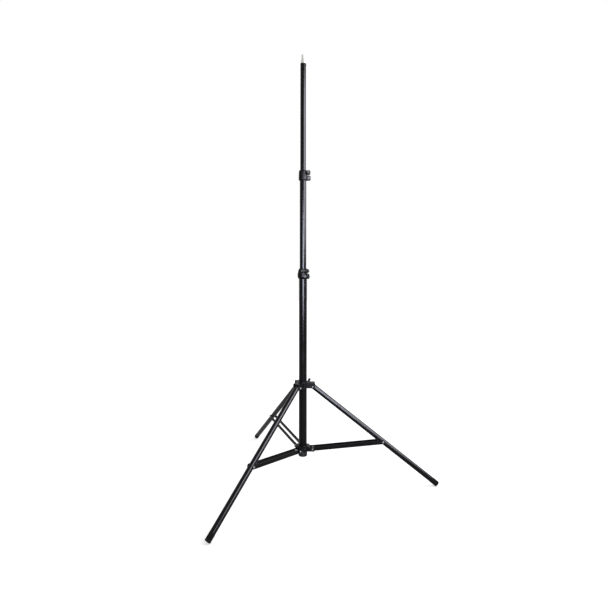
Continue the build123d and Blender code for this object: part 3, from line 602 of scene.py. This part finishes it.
def studio_paper(base):
    """Matt white paper sweep.  Seen by the camera it is white, and it keeps soft shadows."""
    made, tree = blank("matt_white_paper")
    point = add(tree, "TexCoord").outputs["Object"]
    out = add(tree, "VectorMath", {0: point}, operation="LENGTH")
    # Fibre clouding of 30 mm, within one hundredth of white.
    fibre = add(tree, "TexNoise", {"Vector": point, "Scale": cells(30), "Detail": 5.0})
    pale = add(tree, "MapRange", {0: fibre, 1: 0.3, 2: 0.7})
    tone = add(tree, "Mix", {0: pale, 6: lighter(base, 0.99), 7: base}, data_type="RGBA")
    paper = add(tree, "BsdfDiffuse", {"Color": tone})
    path = add(tree, "LightPath").outputs
    mirrored = add(tree, "Math", {0: path["Is Glossy Ray"], 1: path["Is Transmission Ray"]},
                   operation="MAXIMUM")
    # A mirror needs less glow than the camera for the paper to come to white in it.
    seen = add(tree, "Math", {0: mirrored, 1: 0.5, 2: path["Is Camera Ray"]},
               operation="MULTIPLY_ADD")
    # The glow is half of white within 0.7 m, where shadows fall, and all of it from 2.2 m.
    level = add(tree, "MapRange", {0: out, 1: 0.7, 2: 2.2, 3: 0.52, 4: 1.0})
    strength = add(tree, "Math", {0: seen, 1: level}, operation="MULTIPLY")
    glow = add(tree, "Emission", {"Color": (1, 1, 1), "Strength": strength})
    add(tree, "OutputMaterial", {0: add(tree, "AddShader", {0: paper, 1: glow})})
    return made


FINISHES = {}


def material_of(slot_name):
    """The finish of one of the record's slots, made on first use."""
    if not FINISHES:
        colours = bpy.context.scene.stand_colours
        FINISHES.update({
            "black_tube": gloss_powder_coat(colours.tube),
            "black_strip": satin_powder_coat(colours.strip),
            "black_casting": painted_die_casting(colours.casting),
            "black_plastic": moulded_nylon(colours.nylon),
            "foot_rubber": moulded_rubber(colours.rubber),
            "bright_steel": zinc_plate(colours.zinc),
            "spigot_chrome": chrome_plate(colours.chrome),
        })
    return FINISHES[slot_name]


def dress(piece, slot_name):
    """Give a piece the finish of a slot, and no other."""
    piece.data.materials.clear()
    piece.data.materials.append(material_of(slot_name))


def settle(piece, place, node):
    """Put a finished piece in its place, with its place in its mesh.

    It rides, is finished, and the CAD node that it stands for is hidden.
    """
    body, slot_name = NODES[node]["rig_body"], SLOT[node]
    choose(piece)
    piece.matrix_world = place
    bpy.ops.object.transform_apply(location=True, rotation=True, scale=True)
    bpy.ops.object.shade_smooth_by_angle(angle=radians(SMOOTH_FOLD))
    # Flat faces shade flat up to their rounded edges.
    flats = piece.modifiers.new("flats", "WEIGHTED_NORMAL")
    flats.keep_sharp = True
    bpy.ops.object.modifier_apply(modifier=flats.name)
    dress(piece, slot_name)
    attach(piece, body)
    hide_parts(node)


# ---- The collars' fasteners, in millimetres ----------------------------------------------
# For each collar: how far along its axis the knob's disc starts, and how far out from the
# column and how high its fixing bolt is.
COLLARS = {"lower": (17.67, 28.5, 896.4), "upper": (13.34, 25.3, 1324.1)}
# From the middle of the slit to the outer face of an ear, and the washer on it.
EAR_FACE = 7.5
WASHER = 1.2
# A knob's disc, a nut, and the thread that stands past the nut.
KNOB = 8.0
NUT = 5.0
PAST_NUT = 1.5
# Bolts and studs: radius, depth of thread, and the blunt tip that leads into it.
BOLT_R = 3.0
THREAD = 0.5
TIP = 0.4
TIP_SHARE = 0.8
# A ridge of the thread: where its crest starts and ends, in shares of the pitch.
CREST = (0.4, 0.55)
# Hexagons: across the flats, and the cone that takes off their corners.
FLATS = 10.0
CORNER_R = 6.0
CHAMFER_R = 4.75
CHAMFER = 0.7
# How far a shank or a tool runs on past the face that it meets.
OVERRUN = 1.0


def clamp_place(name):
    """The knob's axis of a collar, with z = 0 in the middle of the slit."""
    joint = JOINTS[f"{name}_knob_turn"]
    return along(joint["axis"], joint["pos_m"])


def fixing_place(name):
    """The fixing bolt's axis of a collar, with z = 0 in the middle of the slit."""
    _, out, height = COLLARS[name]
    _, azimuth = joint_place(f"{name}_knob_turn")
    at = Vector((out * cos(azimuth), out * sin(azimuth), height)) * MM
    return along(JOINTS[f"{name}_knob_turn"]["axis"], at)


def thread(low, high, pitch):
    """Profile of a bolt's end: a blunt tip, ridges from low to high, and the plain shank."""
    core, (rise, fall) = BOLT_R - THREAD, CREST
    z = low + TIP
    steps = [(core * TIP_SHARE, low), (core, z)]
    while z + pitch < high:
        steps += [(BOLT_R, z + pitch * rise), (BOLT_R, z + pitch * fall), (core, z + pitch)]
        z += pitch
    return steps + [(BOLT_R, z + pitch * 0.5)]


def hexagon(name, envelope):
    """A hexagon along Z, turned down to an envelope as the corners of a nut are."""
    low, high = envelope[0][1] - OVERRUN, envelope[-1][1] + OVERRUN
    piece = begin(name, bpy.ops.mesh.primitive_cylinder_add, vertices=6,
                  radius=FLATS / 2 / cos(radians(30)) * MM, depth=(high - low) * MM)
    enter_edit(piece)
    bpy.ops.transform.translate(value=(0, 0, (low + high) / 2 * MM))
    # A pair of flats lies level once the hexagon is in a collar.
    bpy.ops.transform.rotate(value=radians(30), orient_axis="Z", center_override=(0, 0, 0))
    leave_edit()
    carve(piece, turn_up("envelope", envelope, sides=72), "INTERSECT")
    return piece


# ---- Operators: one for each piece or group of like pieces, with sizes in millimetres ----
class STAND_OT_finishes(bpy.types.Operator):
    """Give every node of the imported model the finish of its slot"""
    bl_idname = "stand.finishes"
    bl_label = "Finish the model"

    def execute(self, context):
        for name, node in NODES.items():
            dress(node, SLOT[name])
        return {"FINISHED"}


class STAND_OT_castings(bpy.types.Operator):
    """Round the edges of the cast hubs and collars"""
    bl_idname = "stand.castings"
    bl_label = "Cast hubs and collars"

    # The heights of the slot between a collar's two levels.  The hubs have none.
    SLOTS = {"leg_hub": (0, 0), "brace_hub": (0, 0),
             "lower_collar": (904, 913), "upper_collar": (1332, 1341)}
    # Edges that start this close to the bore belong to its rims.
    BORE_RIM = 0.6

    def execute(self, context):
        width = context.scene.stand_sizes.casting_edge
        for node, (low, high) in self.SLOTS.items():
            piece = merged_copy(f"{node}_cast", node)
            bore = min(vert.co.xy.length for vert in piece.data.vertices)

            def stays(edge):
                """The rims that seat the tube stay sharp, and so do the slot's thin walls."""
                a, b = (vert.co for vert in edge.verts)
                return (min(a.xy.length, b.xy.length) < bore + self.BORE_RIM * MM
                        or low * MM < (a.z + b.z) / 2 < high * MM)

            ease_edges(piece, width, stays)
            settle(piece, AS_MODELLED, node)
        return {"FINISHED"}


class STAND_OT_wing_knob(bpy.types.Operator):
    """Round the moulded edges of the leg hub's wing knob"""
    bl_idname = "stand.wing_knob"
    bl_label = "Wing knob"

    def execute(self, context):
        piece = merged_copy("leg_hub_wing_knob", "leg_hub_knob")
        ease_edges(piece, context.scene.stand_sizes.knob_edge)
        settle(piece, AS_MODELLED, "leg_hub_knob")
        return {"FINISHED"}


class STAND_OT_collar_knobs(bpy.types.Operator):
    """Model the two fluted clamp knobs of the collars"""
    bl_idname = "stand.collar_knobs"
    bl_label = "Collar knobs"

    KNOB_R = 9.0
    # Points round the rim, and how many of them lie from a flute's middle to its side.
    RIM_POINTS = 96
    FLUTE_POINTS = 5
    # The rim swells from the back face, runs straight and rounds into the dished face:
    # shares of the radius, and heights.
    RIM = ((0.93, 0.0), (0.98, 0.4), (1.0, 1.2), (1.0, 6.2), (0.985, 7.0), (0.94, 7.7),
           (0.87, KNOB))
    # The dish's rim and floor, and the seat of the stud's bright cap in it.
    DISH_RIM_R = 6.6
    DISH_FLOOR_R = 5.4
    CAP_SEAT_R = 3.33
    CAP_SEAT = 2.4
    # The neck that reaches back to the ear, and where along the axis it ends.
    NECK_R = 5.5
    NECK = 3.0
    NECK_FILLET = 0.8
    NECK_FROM = 7.8

    def knob(self, sizes):
        """A knob about +Z, with z = 0 at the back of its disc."""
        dish = sizes.knob_dish / MM
        piece = begin("fluted_knob", bpy.ops.mesh.primitive_circle_add,
                      vertices=self.RIM_POINTS, radius=self.KNOB_R * MM, fill_type="NGON")
        enter_edit(piece)
        self.flute(piece, sizes)
        bpy.ops.mesh.select_all(action="SELECT")
        share, height = self.RIM[0]
        resize(share)
        for next_share, next_height in self.RIM[1:]:
            raise_face(share, height, next_share, next_height)
            share, height = next_share, next_height
        pick_cap(piece, max)
        for radius, rise in ((self.DISH_RIM_R, 0), (self.DISH_FLOOR_R, -dish),
                             (self.CAP_SEAT_R, 0), (self.CAP_SEAT_R, dish - self.CAP_SEAT)):
            self.round_step(piece, radius, rise)
        pick_cap(piece, min)
        for radius, rise in ((self.NECK_R + self.NECK_FILLET, 0),
                             (self.NECK_R, -self.NECK_FILLET),
                             (self.NECK_R, self.NECK_FILLET - self.NECK)):
            self.round_step(piece, radius, rise)
        bpy.ops.mesh.select_all(action="SELECT")
        bpy.ops.mesh.normals_make_consistent(inside=False)
        leave_edit()
        return piece

    def flute(self, piece, sizes):
        """Draw the rim in at each flute, deepest at its middle."""
        for offset in range(self.FLUTE_POINTS):
            depth = sizes.flute_depth * cos(offset / self.FLUTE_POINTS * pi / 2) ** 2

            def near(vert):
                turn = atan2(vert.co.y, vert.co.x) / (2 * pi) * sizes.flutes - 0.5
                away = abs(turn - round(turn)) / sizes.flutes
                return round(away * self.RIM_POINTS) == offset

            pick(piece, "verts", near)
            resize(1 - depth / (self.KNOB_R * MM))

    def round_step(self, piece, radius, rise):
        """Step the selected end face in to a circle, and on along the axis."""
        bpy.ops.mesh.extrude_region_move(TRANSFORM_OT_translate={"value": (0, 0, rise * MM)})
        mesh = bmesh.from_edit_mesh(piece.data)
        for vert in mesh.verts:
            if vert.select:
                vert.co.xy = vert.co.xy.normalized() * radius * MM
        bmesh.update_edit_mesh(piece.data)

    def execute(self, context):
        pattern = self.knob(context.scene.stand_sizes)
        for name, (disc_from, *_) in COLLARS.items():
            piece = copy_of(pattern, f"{name}_collar_fluted_knob")
            # The neck's end moves to the ear, however far off the disc is.
            shift(piece, self.NECK_FROM - disc_from + self.NECK,
                  lambda vert: vert.co.z < -self.NECK / 2 * MM)
            settle(piece, clamp_place(name) @ up(disc_from), f"{name}_collar_knob")
        drop(pattern)
        return {"FINISHED"}


class STAND_OT_knob_studs(bpy.types.Operator):
    """Model the threaded studs of the collar knobs, with their bright caps"""
    bl_idname = "stand.knob_studs"
    bl_label = "Collar knob studs"

    CAP_R = 3.3
    CAP = 2.5
    CAP_PROUD = 0.8
    SIDES = 48
    # The height of the cap's seat in the pattern, before the cap moves out to its knob.
    SEAT = 1.0

    def stud(self, pitch):
        """A stud about +Z, with z = 0 in the middle of the collar's slit."""
        steps = thread(-EAR_FACE - NUT - PAST_NUT, -EAR_FACE - OVERRUN, pitch)
        steps += [(BOLT_R, 0), (BOLT_R, self.SEAT), (self.CAP_R, self.SEAT)]
        steps += dome(self.CAP_R, self.CAP_PROUD, self.SEAT + self.CAP)
        return turn_up("knob_stud", steps, self.SIDES)

    def execute(self, context):
        pattern = self.stud(context.scene.stand_sizes.thread_pitch / MM)
        for name, (disc_from, *_) in COLLARS.items():
            piece = copy_of(pattern, f"{name}_collar_threaded_stud")
            shift(piece, disc_from + KNOB - self.CAP - self.SEAT,
                  lambda vert: vert.co.z > self.SEAT / 2 * MM)
            settle(piece, clamp_place(name), f"{name}_collar_knob_stud")
        drop(pattern)
        return {"FINISHED"}


class STAND_OT_bolts(bpy.types.Operator):
    """Model the hexagon bolts that fix the collars, with their threads"""
    bl_idname = "stand.bolts"
    bl_label = "Collar bolts"

    HEAD = 4.0
    WASHER_FACE_R = 4.7
    WASHER_FACE = 0.3
    SIDES = 24

    def bolt(self, pitch):
        """A bolt about +Z, with z = 0 in the middle of the collar's slit."""
        grip = EAR_FACE + WASHER
        face, top = grip + self.WASHER_FACE, grip + self.HEAD
        head = hexagon("hex_bolt", [
            (self.WASHER_FACE_R, grip), (self.WASHER_FACE_R, face),
            (CORNER_R, face), (CORNER_R, top - CHAMFER), (CHAMFER_R, top)])
        steps = thread(-grip - NUT - PAST_NUT, -grip - OVERRUN, pitch)
        steps.append((BOLT_R, grip + OVERRUN))
        carve(head, turn_up("shank", steps, self.SIDES), "UNION")
        return head

    def execute(self, context):
        pattern = self.bolt(context.scene.stand_sizes.thread_pitch / MM)
        for name in COLLARS:
            piece = copy_of(pattern, f"{name}_collar_hex_bolt")
            settle(piece, fixing_place(name), f"{name}_collar_bolt")
        drop(pattern)
        return {"FINISHED"}


class STAND_OT_nuts(bpy.types.Operator):
    """Model the chamfered nuts on the collars' bolts and on the knobs' studs"""
    bl_idname = "stand.nuts"
    bl_label = "Collar nuts"

    BORE_R = 3.1
    SINK = 0.6
    PAST = 0.1
    SIDES = 48

    def nut(self):
        """A nut about +Z, from z = 0 down."""
        nut = hexagon("hex_nut", [(CHAMFER_R, -NUT), (CORNER_R, CHAMFER - NUT),
                                  (CORNER_R, -CHAMFER), (CHAMFER_R, 0)])
        # The bore is countersunk at both ends, and its tool runs a little past them.
        wide, low, high = self.BORE_R + self.SINK, -NUT - self.PAST, self.PAST
        bore = [(wide, low), (self.BORE_R, low + self.SINK),
                (self.BORE_R, high - self.SINK), (wide, high)]
        carve(nut, turn_up("bore", bore, self.SIDES), "DIFFERENCE")
        return nut

    def execute(self, context):
        pattern = self.nut()
        for name in COLLARS:
            fixing, clamp = (copy_of(pattern, f"{name}_collar_hex_nuts") for _ in range(2))
            fixing.matrix_world = fixing_place(name) @ up(-EAR_FACE - WASHER)
            clamp.matrix_world = clamp_place(name) @ up(-EAR_FACE)
            choose(fixing)
            clamp.select_set(True)
            bpy.ops.object.join()
            settle(fixing, fixing.matrix_world.copy(), f"{name}_collar_nuts")
        drop(pattern)
        return {"FINISHED"}


class STAND_OT_feet(bpy.types.Operator):
    """Model the grooved rubber feet in the legs' lower ends"""
    bl_idname = "stand.feet"
    bl_label = "Rubber feet"

    # From the leg's pivot to the foot's end, and the leg's lean from upright in degrees.
    REACH = 672.0
    LEAN = 52.5
    RADIUS = 11.8
    LENGTH = 30.0
    # The plug in the tube, the lead round its end, and its step up from the shoulder.
    PLUG_R = 10.27
    PLUG = 24.0
    PLUG_LEAD = 1.0
    PLUG_STEP = 0.01
    # The rounded toe and shoulder: how far in from the radius, and how far up.
    TOE = ((5.2, 0.9), (4.6, 0.0), (1.5, 0.0), (0.75, 0.2), (0.2, 0.75), (0.0, 1.5))
    SHOULDER = ((0.0, -0.8), (0.25, -0.25), (0.8, 0.0))
    # Where the grooves start, and one groove: shares of its depth, and how far up.
    GROOVES = (6.0, 10.5, 15.0)
    GROOVE = ((0.0, 0.0), (0.8, 0.35), (1.0, 0.8), (1.0, 1.2), (0.8, 1.65), (0.0, 2.0))

    def foot(self, sizes):
        """A foot in the leg's own place: the leg hangs along -Z from its pivot."""
        low, top = -self.REACH, self.LENGTH - self.REACH
        depth = sizes.foot_groove / MM
        profile = [(self.RADIUS - inward, low + rise) for inward, rise in self.TOE]
        for start in self.GROOVES:
            profile += [(self.RADIUS - depth * share, low + start + rise)
                        for share, rise in self.GROOVE]
        profile += [(self.RADIUS - inward, top + rise) for inward, rise in self.SHOULDER]
        profile += [
            (self.PLUG_R, top + self.PLUG_STEP),
            (self.PLUG_R, top + self.PLUG - self.PLUG_LEAD),
            (self.PLUG_R - self.PLUG_LEAD, top + self.PLUG),
        ]
        return turn_up("grooved_foot", profile)

    def execute(self, context):
        pattern = self.foot(context.scene.stand_sizes)
        for side in LEGS:
            at, azimuth = joint_place(f"{side}_leg_fold")
            place = (Matrix.Translation(at) @ Matrix.Rotation(azimuth, 4, "Z")
                     @ Matrix.Rotation(radians(-self.LEAN), 4, "Y"))
            settle(copy_of(pattern, f"{side}_grooved_foot"), place, f"{side}_leg_foot")
        drop(pattern)
        return {"FINISHED"}


class STAND_OT_spigot(bpy.types.Operator):
    """Model the turned lamp spigot with its rounded shoulders"""
    bl_idname = "stand.spigot"
    bl_label = "Lamp spigot"

    # The shank in the tube, the flange on the tube's end, the neck and the stud, from the
    # shank's lower end up: the radius and length of each.
    LOW = 1790.8
    STEPS = ((11.27, 34.0), (10.5, 15.5), (6.25, 4.0), (7.94, 18.5))
    TIP_R = 2.0
    EDGE = 1.1
    SIDES = 96

    def execute(self, context):
        z, corners = self.LOW, []
        for radius, tall in self.STEPS:
            corners += [(radius, z), (radius, z + tall)]
            z += tall
        profile = rounded([*corners, (self.TIP_R, z)], self.EDGE)
        settle(turn_up("turned_lamp_spigot", profile, self.SIDES), AS_MODELLED, "spigot")
        return {"FINISHED"}


class STAND_OT_spigot_screw(bpy.types.Operator):
    """Model the spigot's fixing screw, with a cross in its domed head"""
    bl_idname = "stand.spigot_screw"
    bl_label = "Spigot screw"

    # The screw runs out from the column, and its head sits on the top tube's surface.
    SHANK_R = 2.5
    SHANK_FROM = 7.27
    SHANK_TIP = 0.5
    TUBE_R = 12.5
    HEAD_R = 4.0
    HEAD = 1.8
    SIDES = 48
    CROSS = 4.2
    CROSS_WIDTH = 0.9
    CROSS_DEPTH = 1.1
    # Degrees round the column from +X.
    AZIMUTH = -12.0

    def execute(self, context):
        steps = [
            (self.SHANK_R - self.SHANK_TIP, self.SHANK_FROM),
            (self.SHANK_R, self.SHANK_FROM + self.SHANK_TIP),
            (self.SHANK_R, self.TUBE_R),
            *dome(self.HEAD_R, self.HEAD, self.TUBE_R),
        ]
        piece = turn_up("spigot_cross_screw", steps, self.SIDES)
        for width, tall in ((self.CROSS, self.CROSS_WIDTH), (self.CROSS_WIDTH, self.CROSS)):
            tool = begin("cross", bpy.ops.mesh.primitive_cube_add, size=1)
            tool.scale = (width * MM, tall * MM, 2 * self.CROSS_DEPTH * MM)
            tool.location.z = (self.TUBE_R + self.HEAD) * MM
            bpy.context.view_layer.update()
            carve(piece, tool, "DIFFERENCE")
        turn = radians(self.AZIMUTH)
        low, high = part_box("spigot_screw")
        place = along((cos(turn), sin(turn), 0), (0, 0, (low[2] + high[2]) / 2))
        settle(piece, place, "spigot_screw")
        return {"FINISHED"}


class STAND_OT_stage(bpy.types.Operator):
    """Set the floor, the soft lights, the white surround and the camera"""
    bl_idname = "stand.stage"
    bl_label = "Studio"

    # The camera stands level in front of the column.  The stage is in metres and degrees,
    # and only the sensor in millimetres.
    CAMERA_AZIMUTH = 4.3
    CAMERA_OUT = 2.1654
    CAMERA_HEIGHT = 0.9775
    ROLL = 0.06
    SENSOR = 36.0
    # The picture's size, its focal length, the column and the horizon, in pixels.
    FRAME_PIXELS = 608
    FOCAL_PIXELS = 495.7
    AXIS_X = 303.0
    HORIZON_Y = 257.6
    FLOOR_R = 9.0
    SOFT_LEVEL = 0.45
    WHITE = (1, 1, 1, 1)

    def direction(self, to_right):
        """Unit vector from the column, turned to the camera's right by degrees."""
        angle = radians(self.CAMERA_AZIMUTH + to_right)
        return Vector((sin(angle), -cos(angle), 0))

    def put(self, data, at, look, roll=0.0):
        """Put a lamp or the camera in the scene, looking along a direction."""
        thing = bpy.data.objects.new(data.name, data)
        bpy.context.scene.collection.objects.link(thing)
        turn = look.to_track_quat("-Z", "Y").to_matrix() @ Matrix.Rotation(roll, 3, "Z")
        thing.location, thing.rotation_euler = at, turn.to_euler()
        return thing

    def lamp(self, name, to_right, out, height, aim, width, tall, power, tint="#ffffff"):
        """A soft rectangle that faces the column at the height of aim; metres and watts."""
        data = bpy.data.lights.new(name, "AREA")
        data.shape = "RECTANGLE"
        data.size, data.size_y = width, tall
        data.energy = power
        data.color = linear(tint)
        at = self.direction(to_right) * out + Vector((0, 0, height))
        lamp = self.put(data, at, Vector((0, 0, aim)) - at)
        lamp.visible_camera = False
        return lamp

    def black_pieces(self):
        """Every piece with a black coat, paint or moulding on it."""
        slots = ("black_tube", "black_strip", "black_casting", "black_plastic")
        blacks = [material_of(slot) for slot in slots]
        pieces = bpy.data.collections.new("black_finishes")
        for piece in bpy.context.scene.objects:
            if piece.type == "MESH" and piece.data.materials:
                if piece.data.materials[0] in blacks:
                    pieces.objects.link(piece)
        return pieces

    def sheen(self, name, pieces, **card):
        """A card that shows only as a streak in the given pieces; plate doesn't see it."""
        lamp = self.lamp(name, **card)
        lamp.visible_diffuse = False
        lamp.light_linking.receiver_collection = pieces

    def camera(self):
        """A level camera, with the column and the horizon where the photograph has them."""
        data = bpy.data.cameras.new("camera")
        data.sensor_width = self.SENSOR
        data.lens = self.SENSOR * self.FOCAL_PIXELS / self.FRAME_PIXELS
        middle = self.FRAME_PIXELS / 2
        data.shift_x = (middle - self.AXIS_X) / self.FRAME_PIXELS
        data.shift_y = (self.HORIZON_Y - middle) / self.FRAME_PIXELS
        data.clip_start = 0.01
        at = self.direction(0) * self.CAMERA_OUT + Vector((0, 0, self.CAMERA_HEIGHT))
        camera = self.put(data, at, -self.direction(0), radians(self.ROLL))
        bpy.context.scene.camera = camera

    def surround(self):
        """White where the camera, a mirror or glass looks, and a plain soft light."""
        world = bpy.data.worlds.new("studio")
        bpy.context.scene.world = world
        world.use_nodes = True
        tree = world.node_tree
        tree.nodes.clear()
        path = add(tree, "LightPath").outputs
        seen = add(tree, "Math", {0: path["Is Camera Ray"], 1: path["Is Glossy Ray"]},
                   operation="MAXIMUM")
        seen = add(tree, "Math", {0: seen, 1: path["Is Transmission Ray"]},
                   operation="MAXIMUM")
        soft = add(tree, "Background", {"Color": self.WHITE, "Strength": self.SOFT_LEVEL})
        white = add(tree, "Background", {"Color": self.WHITE})
        add(tree, "OutputWorld", {0: add(tree, "MixShader", {0: seen, 1: soft, 2: white})})

    def floor(self, context):
        floor = begin("studio_floor", bpy.ops.mesh.primitive_circle_add, vertices=96,
                      radius=self.FLOOR_R, fill_type="NGON")
        floor.data.materials.append(studio_paper(context.scene.stand_colours.floor))

    def execute(self, context):
        self.floor(context)
        self.surround()
        self.lamp("softbox_right", to_right=82, out=1.8, height=2.0, aim=1.3,
                  width=3.2, tall=1.8, power=46)
        pieces = self.black_pieces()
        self.sheen("sheen_card_right", pieces, to_right=61, out=1.9, height=1.74, aim=1.35,
                   width=2.1, tall=1.38, power=290, tint="#f2f3ff")
        self.sheen("sheen_card_front", pieces, to_right=9, out=2.6, height=0.97, aim=0.97,
                   width=1.5, tall=0.85, power=325, tint="#e6e9ff")
        self.camera()
        context.scene.view_settings.view_transform = "Standard"
        return {"FINISHED"}


class STAND_PT_panel(bpy.types.Panel):
    """Lists the stand's pieces, sizes and colours"""
    bl_idname = "STAND_PT_panel"
    bl_label = "Lighting Stand"
    bl_space_type = "VIEW_3D"
    bl_region_type = "UI"
    bl_category = "Stand"

    def draw(self, context):
        column = self.layout.column(align=True)
        for step in STEPS:
            column.operator(step.bl_idname)
        for group in (context.scene.stand_sizes, context.scene.stand_colours):
            box = self.layout.box()
            for key in group.__annotations__:
                box.prop(group, key)


STEPS = (
    STAND_OT_finishes, STAND_OT_castings, STAND_OT_wing_knob, STAND_OT_collar_knobs,
    STAND_OT_knob_studs, STAND_OT_bolts, STAND_OT_nuts, STAND_OT_feet, STAND_OT_spigot,
    STAND_OT_spigot_screw, STAND_OT_stage,
)
CLASSES = (StandSizes, StandColours, *STEPS, STAND_PT_panel)


def register():
    for cls in CLASSES:
        bpy.utils.register_class(cls)
    bpy.types.Scene.stand_sizes = PointerProperty(type=StandSizes)
    bpy.types.Scene.stand_colours = PointerProperty(type=StandColours)


def unregister():
    del bpy.types.Scene.stand_colours
    del bpy.types.Scene.stand_sizes
    for cls in reversed(CLASSES):
        bpy.utils.unregister_class(cls)


def main():
    register()
    for step in STEPS:
        group, name = step.bl_idname.split(".")
        getattr(getattr(bpy.ops, group), name)()


if __name__ == "__main__":
    main()
